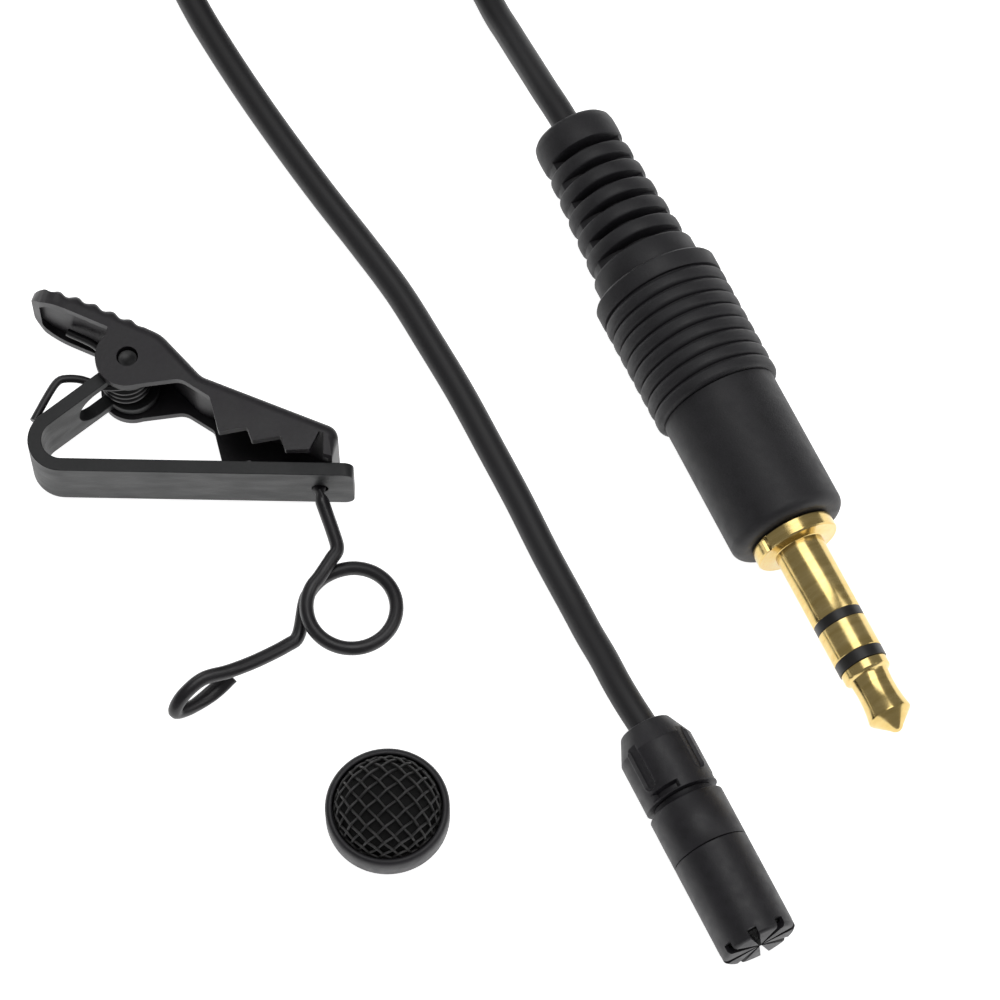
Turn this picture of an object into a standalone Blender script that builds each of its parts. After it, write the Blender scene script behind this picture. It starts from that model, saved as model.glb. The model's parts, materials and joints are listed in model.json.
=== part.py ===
"""Lavalier microphone set: capsule head on a thin lead with a 3.5 mm plug, a sprung tie clip
with its wire holder, and a push-on wire mesh windscreen, lying side by side on a table.

Metres, +Z up.  The origin is on the table, under the middle of the head, clip and windscreen.
"""

import math

import bmesh
import bpy
from mathutils import Vector

MM = 0.001
FIT = 0.05 * MM             # radial play of small fitted pieces
SEAT = 0.1 * MM             # gap between faces that rest on each other
CORD_GAP = 0.3 * MM         # gap at each end of the cord's pieces
ROUND = 32                  # sides of a turned piece
SMALL_ROUND = 20            # sides of a turned piece that is hidden inside

# Where each item lies: its place on the table and the way that it points.
HEAD_AT = (16.14 * MM, -7.65 * MM)
HEAD_TURN = math.radians(-63.9)
PLUG_AT = (11.54 * MM, 35.85 * MM)
PLUG_TURN = math.radians(-64.3)
CLIP_AT = (-18.86 * MM, 18.0 * MM)
CLIP_TURN = math.radians(-1.1)
SCREEN_AT = (-0.98 * MM, -12.85 * MM)

# Microphone head, measured along its axis from the cord's end.
HEAD_R = 2.65 * MM
HEAD_WALL = 0.3 * MM
CONE_L = 1.7 * MM
CONE_REAR_R = HEAD_R - 0.85 * MM
COLLAR_R = HEAD_R - 0.05 * MM
COLLAR_L = 5.5 * MM
COLLAR_BORE_R = HEAD_R - 0.7 * MM
CORD_HOLE_R = 1.35 * MM
CORD_HOLE_L = 1.5 * MM
FLUTES = 4
FLUTE_R = 0.45 * MM
FLUTE_DEPTH = 0.18 * MM
FLUTE_L = 2.9 * MM
GROOVE_L = 0.45 * MM
GROOVE_R = HEAD_R - 0.3 * MM
SLEEVE_L = 3.5 * MM
SLEEVE_BORE_R = COLLAR_BORE_R - 0.45 * MM
SPIGOT_L = 1.0 * MM
HOUSING_L = 7.1 * MM
FRONT_WALL = 0.45 * MM
FRONT_CHAMFER = 0.25 * MM
SLOTS = 8
SLOT_RIM_W = 0.62 * MM
SLOT_HUB_R = 0.22 * MM
SLOT_DEPTH = 0.65 * MM
SLOT_TURN = math.radians(11.0)
FELT_T = 0.35 * MM
CAPSULE_L = 2.3 * MM
GASKET_T = 0.5 * MM
GASKET_W = 1.0 * MM
BOARD_L = 4.6 * MM
BOARD_W = 2.4 * MM          # passes through the sleeve's bore
BOARD_T = 0.6 * MM
FERRULE_L = 1.4 * MM
WIRE_R = 0.2 * MM
WIRE_PITCH = 0.9 * MM

# Cord and its coil.
CORD_R = 1.0 * MM
COIL_AT = (-7.56 * MM, 68.05 * MM)
COIL_R = 11.5 * MM          # middle of the turns
COIL_BUNDLE = 8.0 * MM      # four cords by four
COIL_LIFT = 0.9 * MM
TIE_W = 3.0 * MM
TIE_T = 0.5 * MM
TIE_GAP = 0.3 * MM
TIE_TURN = math.radians(60.0)

# Plug, measured along its axis from the cord's end.
BOOT_END_L = 2.0 * MM
BOOT_END_R = 2.85 * MM
BOOT_RINGS = 5
BOOT_RING_L = 0.88 * MM
BOOT_GAP_L = 0.76 * MM
BOOT_RING_R = (2.9 * MM, 3.5 * MM)
BOOT_GROOVE = 0.7 * MM      # how deep the gaps between the rings go
BOOT_COLLAR_L = 1.77 * MM
BOOT_COLLAR_R = 3.75 * MM
BOOT_BORE_R = 1.2 * MM
BOOT_SPIGOT_L = 2.0 * MM
RIBS = 9
RIB_PITCH = 1.105 * MM
RIB_R = 4.52 * MM
RIB_GROOVE = 0.3 * MM
GRIP_R = RIB_R - 0.4 * MM
GRIP_SMOOTH_L = 10.7 * MM
GRIP_CORNER = 0.8 * MM
GRIP_BORE_R = GRIP_R - 1.12 * MM
GRIP_NOSE_L = 2.0 * MM
BOOT_SPIGOT_R = GRIP_BORE_R - 0.1 * MM
FLANGE_L = 1.05 * MM
PIN_R = 1.75 * MM
SHANK_R = PIN_R + 0.45 * MM
FLANGE_R = SHANK_R + 0.75 * MM
SLEEVE_CONTACT_L = 5.65 * MM
RING_CONTACT_L = 2.3 * MM
BAND_L = (0.75 * MM, 0.85 * MM)
TIP_COLLAR_L = 0.9 * MM
TIP_COLLAR_R = PIN_R - 0.1 * MM
TIP_NECK_R = PIN_R - 0.42 * MM
TIP_FLARE_R = PIN_R - 0.22 * MM
TIP_POINT_R = 0.2 * MM
TIP_NECK_L = 1.3 * MM
TIP_FLARE_L = 1.65 * MM
TIP_POINT_L = 1.2 * MM
ROD_R = 0.45 * MM
TUBE_WALL = 0.25 * MM
LUG_STEP = 1.5 * MM
CORE_R = GRIP_BORE_R - 0.2 * MM
CORE_L = 9.0 * MM

# Tie clip, drawn round its pivot: X along the jaw, Y towards the thumb pad, Z its width.
LEVER_W = 6.3 * MM
SHEET_T = 0.6 * MM
STRIP_T = 0.95 * MM
STRIP_W = LEVER_W - 2 * (SHEET_T + 0.2 * MM)
ARM_REACH = 15.6 * MM
ARM_DROP = 7.25 * MM        # from the pivot to the arm's inner face
BACK_ANGLE = math.radians(40.5)
BACK_OFFSET = 0.62 * MM     # from the pivot to the back's outer face
BEND_R = 1.4 * MM           # inside of the strip's bend
ARM_CORNER_R = 0.7 * MM
EAR_R = 1.9 * MM
PRONG_W = 0.75 * MM
NOTCH_REACH = 4.6 * MM
PIVOT_R = 0.7 * MM
PIVOT_RECESS = 0.1 * MM
PIVOT_PLAY = 0.06 * MM
LEVER_EAR_R = 2.2 * MM
TOOTH_COUNT = 3
TOOTH_FIRST = (6.45 * MM, 1.75 * MM - ARM_DROP)
TOOTH_STEP = (2.28 * MM, -0.62 * MM)
TOOTH_ROOT = (1.9 * MM, 0.42 * MM)
PAD_END = (-7.0 * MM, 5.6 * MM)
PAD_LIP = 0.7 * MM          # how far the pad's rim turns down at its end
PAD_UNDER = (-6.3 * MM, 4.3 * MM)
PAD_MEETS_EAR = (-1.45 * MM, 2.2 * MM)
PAD_ROUND = 3.1 * MM
LEVER_FOOT = (ARM_REACH - 1.45 * MM, 0.15 * MM - ARM_DROP)
RELIEF_STEP = 0.35 * MM
# Outside of the lever's back, from the pad's end to the foot: X, Y and corner radius.
WEB = [(*PAD_END, 0.0), (-3.2 * MM, 4.4 * MM, 4.0 * MM), (2.2 * MM, 1.95 * MM, 2.5 * MM),
       (5.1 * MM, -1.15 * MM, 1.5 * MM), (ARM_REACH - 0.9 * MM, 2.3 * MM - ARM_DROP, MM),
       (*LEVER_FOOT, 0.0)]

SPRING_WIRE_R = 0.28 * MM
SPRING_R = 1.5 * MM
SPRING_SHIFT = 0.35 * MM
SPRING_TURNS = 3.6
SPRING_START = math.radians(-60.0)
# The spring's legs, seen along the pin: under the strip's back, and under the thumb pad.
STRIP_LEG = [(-6.3 * MM, -4.1 * MM), (-5.4 * MM, -2.1 * MM), (-4.85 * MM, -1.15 * MM),
             (-4.3 * MM, -0.9 * MM), (-3.2 * MM, -0.95 * MM), (-1.6 * MM, -1.45 * MM)]
PAD_LEG = [(-2.4 * MM, 2.55 * MM), (-4.6 * MM, 3.75 * MM)]

# Wire holder, in the clip's own axes: Z from the middle of the strip's width.
HOLDER_R = 0.48 * MM
HOLDER_AT_X = 13.3 * MM
HOLDER_RING_R = 3.02 * MM
HOLDER_RING_AT = (15.7 * MM, -16.75 * MM)
HOLDER_HOLE_R = 0.55 * MM
HOLDER_HEAD_R = 0.75 * MM
HOLDER_HEAD_L = 0.3 * MM
HOLDER_WING_R = 0.85 * MM
HOLDER_WING_L = 0.35 * MM
# The holder's straight parts: from the arm to the ring, and from the ring to the end hook.
HOLDER_NECK = [(14.25 * MM, -11.3 * MM, 0.0), (14.6 * MM, -12.6 * MM, 0.02 * MM),
               (14.25 * MM, -13.35 * MM, 0.08 * MM)]
HOLDER_TAIL = [(11.4 * MM, -19.3 * MM, -0.9 * MM), (9.5 * MM, -20.6 * MM, -0.4 * MM),
               (7.7 * MM, -21.6 * MM, 0.1 * MM), (6.0 * MM, -22.3 * MM, 0.45 * MM),
               (4.8 * MM, -23.3 * MM, 0.2 * MM), (4.2 * MM, -24.0 * MM, -0.5 * MM),
               (4.25 * MM, -24.1 * MM, -1.2 * MM), (5.3 * MM, -23.4 * MM, -1.8 * MM),
               (6.7 * MM, -22.2 * MM, -1.9 * MM), (7.7 * MM, -21.3 * MM, -1.5 * MM)]
HOLDER_RING_START = math.radians(138.0)
HOLDER_RING_TURNS = 1.09

# Windscreen, standing on its open end.
SCREEN_R = HEAD_R + 1.5 * MM
SCREEN_H = 2.05 * MM
SCREEN_WALL = 0.45 * MM
SCREEN_LIP_R = HEAD_R + 0.65 * MM
SCREEN_EDGE = 0.2 * MM
SCREEN_FLOOR = 0.45 * MM
DOME_R = SCREEN_R - 0.6 * MM
DOME_RISE = 2.0 * MM
DOME_BASE = 1.25 * MM
DOME_T = 0.3 * MM
BUSH_H = 0.6 * MM
FOAM_T = 0.5 * MM


def start_file():
    """An empty scene with one collection for the pieces and one for the cutters."""
    for item in list(bpy.data.objects):
        bpy.data.objects.remove(item, do_unlink=True)
    pieces = bpy.data.collections.new("lavalier_microphone")
    cutters = bpy.data.collections.new("cutters")
    for collection in (pieces, cutters):
        bpy.context.scene.collection.children.link(collection)
    return pieces, cutters


PIECES, CUTTERS = start_file()


def material(name, colour, roughness, metallic=0.0):
    made = bpy.data.materials.new(name)
    made.use_nodes = True
    shader = made.node_tree.nodes["Principled BSDF"]
    shader.inputs["Base Color"].default_value = (*colour, 1.0)
    shader.inputs["Roughness"].default_value = roughness
    shader.inputs["Metallic"].default_value = metallic
    return made


BLACK_METAL = ("black_anodised", (0.018, 0.018, 0.02), 0.4, 0.3)
BLACK_PAINT = ("black_painted_steel", (0.014, 0.014, 0.015), 0.42, 0.0)
BLACK_PLASTIC = ("black_moulded_pvc", (0.022, 0.021, 0.022), 0.6, 0.0)
BLACK_RUBBER = ("black_rubber", (0.02, 0.02, 0.02), 0.75, 0.0)
GOLD = ("gold_plate", (0.83, 0.6, 0.25), 0.2, 1.0)
STEEL = ("bright_steel", (0.55, 0.55, 0.56), 0.3, 1.0)
BRASS = ("brass", (0.7, 0.52, 0.25), 0.3, 1.0)
WHITE_PLASTIC = ("white_polythene", (0.75, 0.74, 0.7), 0.5, 0.0)
BOARD_GREEN = ("board_laminate", (0.05, 0.22, 0.1), 0.5, 0.0)
FOAM = ("grey_foam", (0.05, 0.05, 0.05), 0.95, 0.0)
RED_WIRE = ("red_wire", (0.6, 0.05, 0.04), 0.5, 0.0)
WHITE_WIRE = ("white_wire", (0.8, 0.8, 0.78), 0.5, 0.0)


def add(name, data, parent, finish):
    """A named piece in the model's collection, on its parent, with a finish of its own."""
    piece = bpy.data.objects.new(name, data)
    PIECES.objects.link(piece)
    piece.parent = parent
    if finish:
        colour_name, colour, roughness, metallic = finish
        data.materials.append(material(f"{name}_{colour_name}", colour, roughness, metallic))
    return piece


def axis_empty(name, location, turn=(0.0, 0.0, 0.0), parent=None):
    empty = bpy.data.objects.new(name, None)
    PIECES.objects.link(empty)
    empty.location = location
    empty.rotation_euler = turn
    empty.parent = parent
    return empty


def as_cutter(piece):
    PIECES.objects.unlink(piece)
    CUTTERS.objects.link(piece)
    piece.hide_render = True
    piece.display_type = "WIRE"
    return piece


def boolean(piece, other, operation):
    step = piece.modifiers.new(operation.lower(), "BOOLEAN")
    step.operation = operation
    step.object = other
    step.solver = "EXACT"


def cut(piece, cutter):
    boolean(piece, as_cutter(cutter), "DIFFERENCE")


def join(piece, other):
    boolean(piece, as_cutter(other), "UNION")


def turned(name, outer, bore, parent, finish, sides=ROUND):
    """A turned piece on its own Z: outer runs (z, r) from top to bottom, bore from bottom to
    top.  With no bore the piece is solid, and outer starts and ends on the axis."""
    profile = list(outer) + list(bore)
    mesh = bpy.data.meshes.new(name)
    count = len(profile)
    edges = [(i, i + 1) for i in range(count - 1)]
    if bore:
        edges.append((count - 1, 0))
    mesh.from_pydata([(r, 0.0, z) for z, r in profile], edges, [])
    piece = add(name, mesh, parent, finish)
    screw = piece.modifiers.new("turn", "SCREW")
    screw.axis = "Z"
    screw.steps = sides
    screw.render_steps = sides
    screw.use_merge_vertices = True
    screw.merge_threshold = 1e-6
    screw.use_smooth_shade = True
    return piece


def solid_turned(name, outer, parent, finish, sides=ROUND):
    closed = [(outer[0][0], 0.0), *outer, (outer[-1][0], 0.0)]
    return turned(name, closed, (), parent, finish, sides)


def block(name, size, centre, parent, finish):
    mesh = bpy.data.meshes.new(name)
    shape = bmesh.new()
    bmesh.ops.create_cube(shape, size=1.0)
    bmesh.ops.scale(shape, vec=Vector(size), verts=shape.verts)
    bmesh.ops.translate(shape, vec=Vector(centre), verts=shape.verts)
    shape.to_mesh(mesh)
    shape.free()
    return add(name, mesh, parent, finish)


def rod(name, radius, length, parent, finish, sides=SMALL_ROUND):
    """A plain cylinder on its own Z, standing on its origin."""
    mesh = bpy.data.meshes.new(name)
    shape = bmesh.new()
    bmesh.ops.create_cone(shape, cap_ends=True, segments=sides, radius1=radius,
                          radius2=radius, depth=length)
    bmesh.ops.translate(shape, vec=(0.0, 0.0, length / 2), verts=shape.verts)
    shape.to_mesh(mesh)
    shape.free()
    mesh.shade_smooth()
    mesh.set_sharp_from_angle(angle=math.radians(40.0))
    return add(name, mesh, parent, finish)


def to_mesh(piece):
    """The same piece as a plain closed mesh, so that it can be cut and joined."""
    bpy.context.view_layer.update()
    depsgraph = bpy.context.evaluated_depsgraph_get()
    mesh = bpy.data.meshes.new_from_object(piece.evaluated_get(depsgraph))
    shape = bmesh.new()
    shape.from_mesh(mesh)
    bmesh.ops.remove_doubles(shape, verts=shape.verts, dist=1e-7)
    shape.to_mesh(mesh)
    shape.free()
    name, parent, place = piece.name, piece.parent, piece.matrix_basis.copy()
    bpy.data.objects.remove(piece, do_unlink=True)
    mesh.name = name
    made = bpy.data.objects.new(name, mesh)
    PIECES.objects.link(made)
    made.parent = parent
    made.matrix_basis = place
    return made


def plate(name, outline, thickness, parent, finish):
    """A flat outline in X and Y, with its thickness shared above and below Z = 0."""
    curve = bpy.data.curves.new(name, "CURVE")
    curve.dimensions = "2D"
    curve.fill_mode = "BOTH"
    curve.extrude = thickness / 2
    spline = curve.splines.new("POLY")
    spline.points.add(len(outline) - 1)
    for point, (x, y) in zip(spline.points, outline):
        point.co = (x, y, 0.0, 1.0)
    spline.use_cyclic_u = True
    return to_mesh(add(name, curve, parent, finish))


def tube(name, points, radius, parent, finish):
    """A wire or cord of one radius along the points, closed at both ends."""
    curve = bpy.data.curves.new(name, "CURVE")
    curve.dimensions = "3D"
    curve.bevel_depth = radius
    curve.bevel_resolution = 2
    curve.use_fill_caps = True
    spline = curve.splines.new("POLY")
    spline.points.add(len(points) - 1)
    for point, place in zip(spline.points, points):
        point.co = (*place, 1.0)
    return add(name, curve, parent, finish)


def arc(centre, radius, start, end, step=math.radians(18.0)):
    """Points on an arc, from the start angle to the end angle."""
    count = max(2, math.ceil(abs(end - start) / step) + 1)
    angles = [start + (end - start) * i / (count - 1) for i in range(count)]
    return [(centre[0] + radius * math.cos(a), centre[1] + radius * math.sin(a)) for a in angles]


def rounded(corners):
    """An outline from (x, y, radius) corners, each rounded to its radius."""
    outline = []
    for index, (x, y, radius) in enumerate(corners):
        here = Vector((x, y))
        if radius <= 0.0:
            outline.append((x, y))
            continue
        back = (Vector(corners[index - 1][:2]) - here).normalized()
        ahead = (Vector(corners[(index + 1) % len(corners)][:2]) - here).normalized()
        half = back.angle(ahead) / 2
        centre = here + (back + ahead).normalized() * (radius / math.sin(half))
        first = here + back * (radius / math.tan(half)) - centre
        last = here + ahead * (radius / math.tan(half)) - centre
        start = math.atan2(first.y, first.x)
        sweep = (math.atan2(last.y, last.x) - start + math.pi) % (2 * math.pi) - math.pi
        outline += arc(centre, radius, start, start + sweep)
    return outline


def smooth_route(route, spacing):
    """Points about a spacing apart on a smooth curve through the route's own points."""
    route = [Vector(point) for point in route]
    padded = [2 * route[0] - route[1], *route, 2 * route[-1] - route[-2]]
    fine = []
    for i in range(1, len(padded) - 2):
        p0, p1, p2, p3 = padded[i - 1:i + 3]
        for step in range(24):
            t = step / 24
            fine.append(0.5 * (2 * p1 + (p2 - p0) * t + (2 * p0 - 5 * p1 + 4 * p2 - p3) * t * t
                               + (3 * p1 - p0 - 3 * p2 + p3) * t ** 3))
    fine.append(route[-1])
    run = [0.0]
    for before, after in zip(fine, fine[1:]):
        run.append(run[-1] + (after - before).length)
    count = max(2, round(run[-1] / spacing))
    points = []
    index = 0
    for k in range(count + 1):
        target = run[-1] * k / count
        while index < len(run) - 2 and run[index + 1] < target:
            index += 1
        part = (target - run[index]) / (run[index + 1] - run[index])
        points.append(fine[index].lerp(fine[index + 1], part))
    return points


def lying(name, place, height, turn):
    """An empty whose Z axis lies level, pointing the given way."""
    return axis_empty(name, (*place, height), (0.0, math.pi / 2, turn))


# ---------------------------------------------------------------- microphone head

def rear_collar(head):
    outer = [(COLLAR_L, COLLAR_R), (CONE_L, COLLAR_R), (0.0, CONE_REAR_R)]
    bore = [(0.0, CORD_HOLE_R), (CORD_HOLE_L, CORD_HOLE_R), (CORD_HOLE_L, COLLAR_BORE_R),
            (COLLAR_L, COLLAR_BORE_R)]
    collar = turned("rear_collar", outer, bore, head, BLACK_METAL)
    centre_r = COLLAR_R + FLUTE_R - FLUTE_DEPTH
    for k in range(FLUTES):
        angle = 2 * math.pi * (k + 0.5) / FLUTES
        flute = rod(f"flute_cut_{k}", FLUTE_R, FLUTE_L, head, None, 12)
        flute.location = (centre_r * math.cos(angle), centre_r * math.sin(angle), CONE_L)
        cut(collar, flute)


def cord_bush(head):
    outer = [(CORD_HOLE_L - SEAT, CORD_HOLE_R - FIT), (SEAT, CORD_HOLE_R - FIT)]
    bore = [(SEAT, WIRE_PITCH), (CORD_HOLE_L - SEAT, WIRE_PITCH)]
    turned("cord_bush", outer, bore, head, BLACK_RUBBER, SMALL_ROUND)


def crimp_ferrule(head):
    foot = CORD_HOLE_L + SEAT
    outer = [(foot + FERRULE_L, CORD_HOLE_R), (foot, CORD_HOLE_R)]
    bore = [(foot, WIRE_PITCH), (foot + FERRULE_L, WIRE_PITCH)]
    turned("crimp_ferrule", outer, bore, head, BRASS, SMALL_ROUND)


SLEEVE_FOOT = COLLAR_L + SEAT
SLEEVE_STEP = SLEEVE_FOOT + GROOVE_L
SLEEVE_TOP = SLEEVE_STEP + SLEEVE_L
HOUSING_FOOT = SLEEVE_TOP + SEAT
HEAD_FRONT = HOUSING_FOOT + HOUSING_L
HOUSING_BORE_R = HEAD_R - HEAD_WALL
BOARD_FOOT = SLEEVE_STEP + 0.5 * MM


def barrel_sleeve(head):
    spigot_r = HOUSING_BORE_R - FIT
    tail_r = COLLAR_BORE_R - FIT
    outer = [(SLEEVE_TOP + SPIGOT_L, spigot_r), (SLEEVE_TOP, spigot_r), (SLEEVE_TOP, HEAD_R),
             (SLEEVE_STEP, HEAD_R), (SLEEVE_STEP, GROOVE_R), (SLEEVE_FOOT, GROOVE_R),
             (SLEEVE_FOOT, tail_r), (SLEEVE_FOOT - SPIGOT_L, tail_r)]
    bore = [(SLEEVE_FOOT - SPIGOT_L, SLEEVE_BORE_R), (SLEEVE_TOP + SPIGOT_L, SLEEVE_BORE_R)]
    turned("barrel_sleeve", outer, bore, head, BLACK_METAL)


def star_outline():
    """The front slots as one star: eight arms that widen to the rim."""
    reach = HEAD_R + MM
    half_arm = math.asin(SLOT_RIM_W / 2 / HEAD_R)
    outline = []
    for k in range(SLOTS):
        angle = SLOT_TURN + 2 * math.pi * k / SLOTS
        for side in (-half_arm, half_arm):
            outline.append((reach * math.cos(angle + side), reach * math.sin(angle + side)))
        valley = angle + math.pi / SLOTS
        outline.append((SLOT_HUB_R * math.cos(valley), SLOT_HUB_R * math.sin(valley)))
    return outline


def capsule_housing(head):
    inside = HEAD_FRONT - FRONT_WALL
    profile = [(HEAD_FRONT, 0.0), (HEAD_FRONT, HEAD_R - FRONT_CHAMFER),
               (HEAD_FRONT - FRONT_CHAMFER, HEAD_R), (HOUSING_FOOT, HEAD_R),
               (HOUSING_FOOT, HOUSING_BORE_R), (inside, HOUSING_BORE_R), (inside, 0.0)]
    housing = turned("capsule_housing", profile, (), head, BLACK_METAL, 48)
    star = plate("front_slot_cut", star_outline(), 2 * SLOT_DEPTH, head, None)
    star.location.z = HEAD_FRONT
    cut(housing, star)


def capsule_stack(head):
    """Dust felt, electret capsule and its gasket, one behind the other in the housing."""
    felt_top = HEAD_FRONT - FRONT_WALL - SEAT
    capsule_top = felt_top - FELT_T - SEAT
    gasket_top = capsule_top - CAPSULE_L - SEAT
    inner_r = HOUSING_BORE_R - 2 * FIT
    solid_turned("dust_felt", [(felt_top, inner_r), (felt_top - FELT_T, inner_r)], head, FOAM,
                 SMALL_ROUND)
    solid_turned("electret_capsule", [(capsule_top, inner_r), (capsule_top - CAPSULE_L, inner_r)],
                 head, STEEL, SMALL_ROUND)
    turned("capsule_gasket", [(gasket_top, inner_r), (gasket_top - GASKET_T, inner_r)],
           [(gasket_top - GASKET_T, inner_r - GASKET_W), (gasket_top, inner_r - GASKET_W)], head,
           BLACK_RUBBER, SMALL_ROUND)


def circuit_board(head):
    block("circuit_board", (BOARD_T, BOARD_W, BOARD_L),
          (0.0, 0.0, BOARD_FOOT + BOARD_L / 2), head, BOARD_GREEN)


def head_wires(head):
    """The two conductors, from the crimp to the end of the board."""
    foot = CORD_HOLE_L + 2 * SEAT
    length = BOARD_FOOT - SEAT - foot
    for name, side, finish in (("signal_wire", 1, RED_WIRE), ("return_wire", -1, WHITE_WIRE)):
        wire = rod(name, WIRE_R, length, head, finish, 10)
        wire.location = (0.0, side * WIRE_PITCH / 2, foot)


# ---------------------------------------------------------------- plug

BOOT_PITCH = BOOT_RING_L + BOOT_GAP_L
BOOT_COLLAR_FOOT = BOOT_END_L + BOOT_RINGS * BOOT_PITCH + BOOT_GAP_L
BOOT_L = BOOT_COLLAR_FOOT + BOOT_COLLAR_L
GRIP_FOOT = BOOT_L + SEAT
GRIP_STEP = GRIP_FOOT + RIBS * RIB_PITCH
GRIP_TOP = GRIP_STEP + GRIP_SMOOTH_L
FLANGE_FOOT = GRIP_TOP + SEAT
FLANGE_TOP = FLANGE_FOOT + FLANGE_L
SLEEVE_END = FLANGE_TOP + SLEEVE_CONTACT_L
RING_START = SLEEVE_END + BAND_L[0]
RING_END = RING_START + RING_CONTACT_L
TIP_START = RING_END + BAND_L[1]
CORE_TOP = GRIP_TOP - GRIP_NOSE_L - SEAT
CORE_FOOT = CORE_TOP - CORE_L


def strain_relief_boot(plug):
    """A tapering boot: end collar, rings with grooves between them, and a wide collar."""
    outer = [(BOOT_L + BOOT_SPIGOT_L, BOOT_SPIGOT_R), (BOOT_L, BOOT_SPIGOT_R),
             (BOOT_L, BOOT_COLLAR_R), (BOOT_COLLAR_FOOT, BOOT_COLLAR_R)]
    least, most = BOOT_RING_R
    for k in reversed(range(BOOT_RINGS)):
        ring_r = least + (most - least) * (k + 1) / BOOT_RINGS
        floor_r = ring_r - BOOT_GROOVE
        ring_foot = BOOT_END_L + BOOT_GAP_L + k * BOOT_PITCH
        ring_top = ring_foot + BOOT_RING_L
        outer += [(ring_top + BOOT_GAP_L, floor_r), (ring_top, floor_r), (ring_top, ring_r),
                  (ring_foot, ring_r)]
    outer += [(BOOT_END_L + BOOT_GAP_L, least - BOOT_GROOVE), (BOOT_END_L, least - BOOT_GROOVE),
              (BOOT_END_L, BOOT_END_R), (0.0, BOOT_END_R)]
    bore = [(0.0, BOOT_BORE_R), (BOOT_L + BOOT_SPIGOT_L, BOOT_BORE_R)]
    turned("strain_relief_boot", outer, bore, plug, BLACK_PLASTIC)


def plug_grip(plug):
    """The moulded grip: round ribs at the cord's end, then a plain barrel."""
    outer = [(GRIP_TOP, SHANK_R + 2 * FIT)]
    corner = (GRIP_TOP - GRIP_CORNER, GRIP_R - GRIP_CORNER)
    outer += arc(corner, GRIP_CORNER, 0.0, math.pi / 2, math.radians(30.0))
    outer.append((GRIP_STEP, GRIP_R))
    for k in reversed(range(RIBS)):
        foot = GRIP_FOOT + k * RIB_PITCH
        outer += [(foot + 0.80 * RIB_PITCH, RIB_R), (foot + 0.30 * RIB_PITCH, RIB_R),
                  (foot + 0.10 * RIB_PITCH, RIB_R - RIB_GROOVE)]
    outer.append((GRIP_FOOT, RIB_R - RIB_GROOVE))
    nose = GRIP_TOP - GRIP_NOSE_L
    bore = [(GRIP_FOOT, GRIP_BORE_R), (nose, GRIP_BORE_R), (nose, SHANK_R + 2 * FIT)]
    turned("plug_grip", outer, bore, plug, BLACK_PLASTIC)


def plug_contacts(plug):
    """Sleeve, ring and tip, nested with an insulator tube between each pair."""
    tip_tube = (ROD_R + FIT, ROD_R + FIT + TUBE_WALL)
    ring_tube = (tip_tube[1] + FIT, tip_tube[1] + FIT + TUBE_WALL)
    outer_tube = (ring_tube[1] + FIT, ring_tube[1] + FIT + TUBE_WALL)
    sleeve_bore = outer_tube[1] + FIT
    sleeve_tail = CORE_TOP
    ring_tail = sleeve_tail - LUG_STEP
    tip_tail = ring_tail - 2 * LUG_STEP

    turned("plug_sleeve",
           [(SLEEVE_END, PIN_R), (FLANGE_TOP, PIN_R), (FLANGE_TOP, FLANGE_R),
            (FLANGE_FOOT, FLANGE_R), (FLANGE_FOOT, SHANK_R), (sleeve_tail + SEAT, SHANK_R)],
           [(sleeve_tail + SEAT, sleeve_bore), (SLEEVE_END, sleeve_bore)], plug, GOLD)
    turned("ring_insulator",
           [(RING_START - SEAT, PIN_R - FIT), (SLEEVE_END + SEAT, PIN_R - FIT),
            (SLEEVE_END + SEAT, outer_tube[1]), (sleeve_tail - SEAT, outer_tube[1])],
           [(sleeve_tail - SEAT, outer_tube[0]), (RING_START - SEAT, outer_tube[0])],
           plug, BLACK_PLASTIC, SMALL_ROUND)
    turned("plug_ring",
           [(RING_END, PIN_R), (RING_START, PIN_R), (RING_START, ring_tube[1]),
            (ring_tail, ring_tube[1])],
           [(ring_tail, ring_tube[0]), (RING_END, ring_tube[0])], plug, GOLD)
    turned("tip_insulator",
           [(TIP_START - SEAT, PIN_R - FIT), (RING_END + SEAT, PIN_R - FIT),
            (RING_END + SEAT, tip_tube[1]), (ring_tail - LUG_STEP, tip_tube[1])],
           [(ring_tail - LUG_STEP, tip_tube[0]), (TIP_START - SEAT, tip_tube[0])],
           plug, BLACK_PLASTIC, SMALL_ROUND)
    neck = TIP_START + TIP_COLLAR_L + TIP_NECK_L
    flare = neck + TIP_FLARE_L
    solid_turned("plug_tip",
                 [(flare + TIP_POINT_L, TIP_POINT_R), (flare, TIP_FLARE_R), (neck, TIP_NECK_R),
                  (TIP_START + TIP_COLLAR_L, TIP_COLLAR_R), (TIP_START, TIP_COLLAR_R),
                  (TIP_START, ROD_R), (tip_tail, ROD_R)], plug, GOLD)


def plug_core(plug):
    """The white inner moulding round the contacts' tails."""
    hole = PIN_R + SEAT
    turned("plug_core", [(CORE_TOP, CORE_R), (CORE_FOOT, CORE_R)],
           [(CORE_FOOT, hole), (CORE_TOP, hole)], plug, WHITE_PLASTIC, SMALL_ROUND)


# ---------------------------------------------------------------- cord

def axis_point(place, height, turn, along):
    """A point on a lying item's axis, measured along it."""
    return (place[0] + along * math.cos(turn), place[1] + along * math.sin(turn), height)


HEAD_Z = HEAD_R
PLUG_Z = RIB_R

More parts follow.
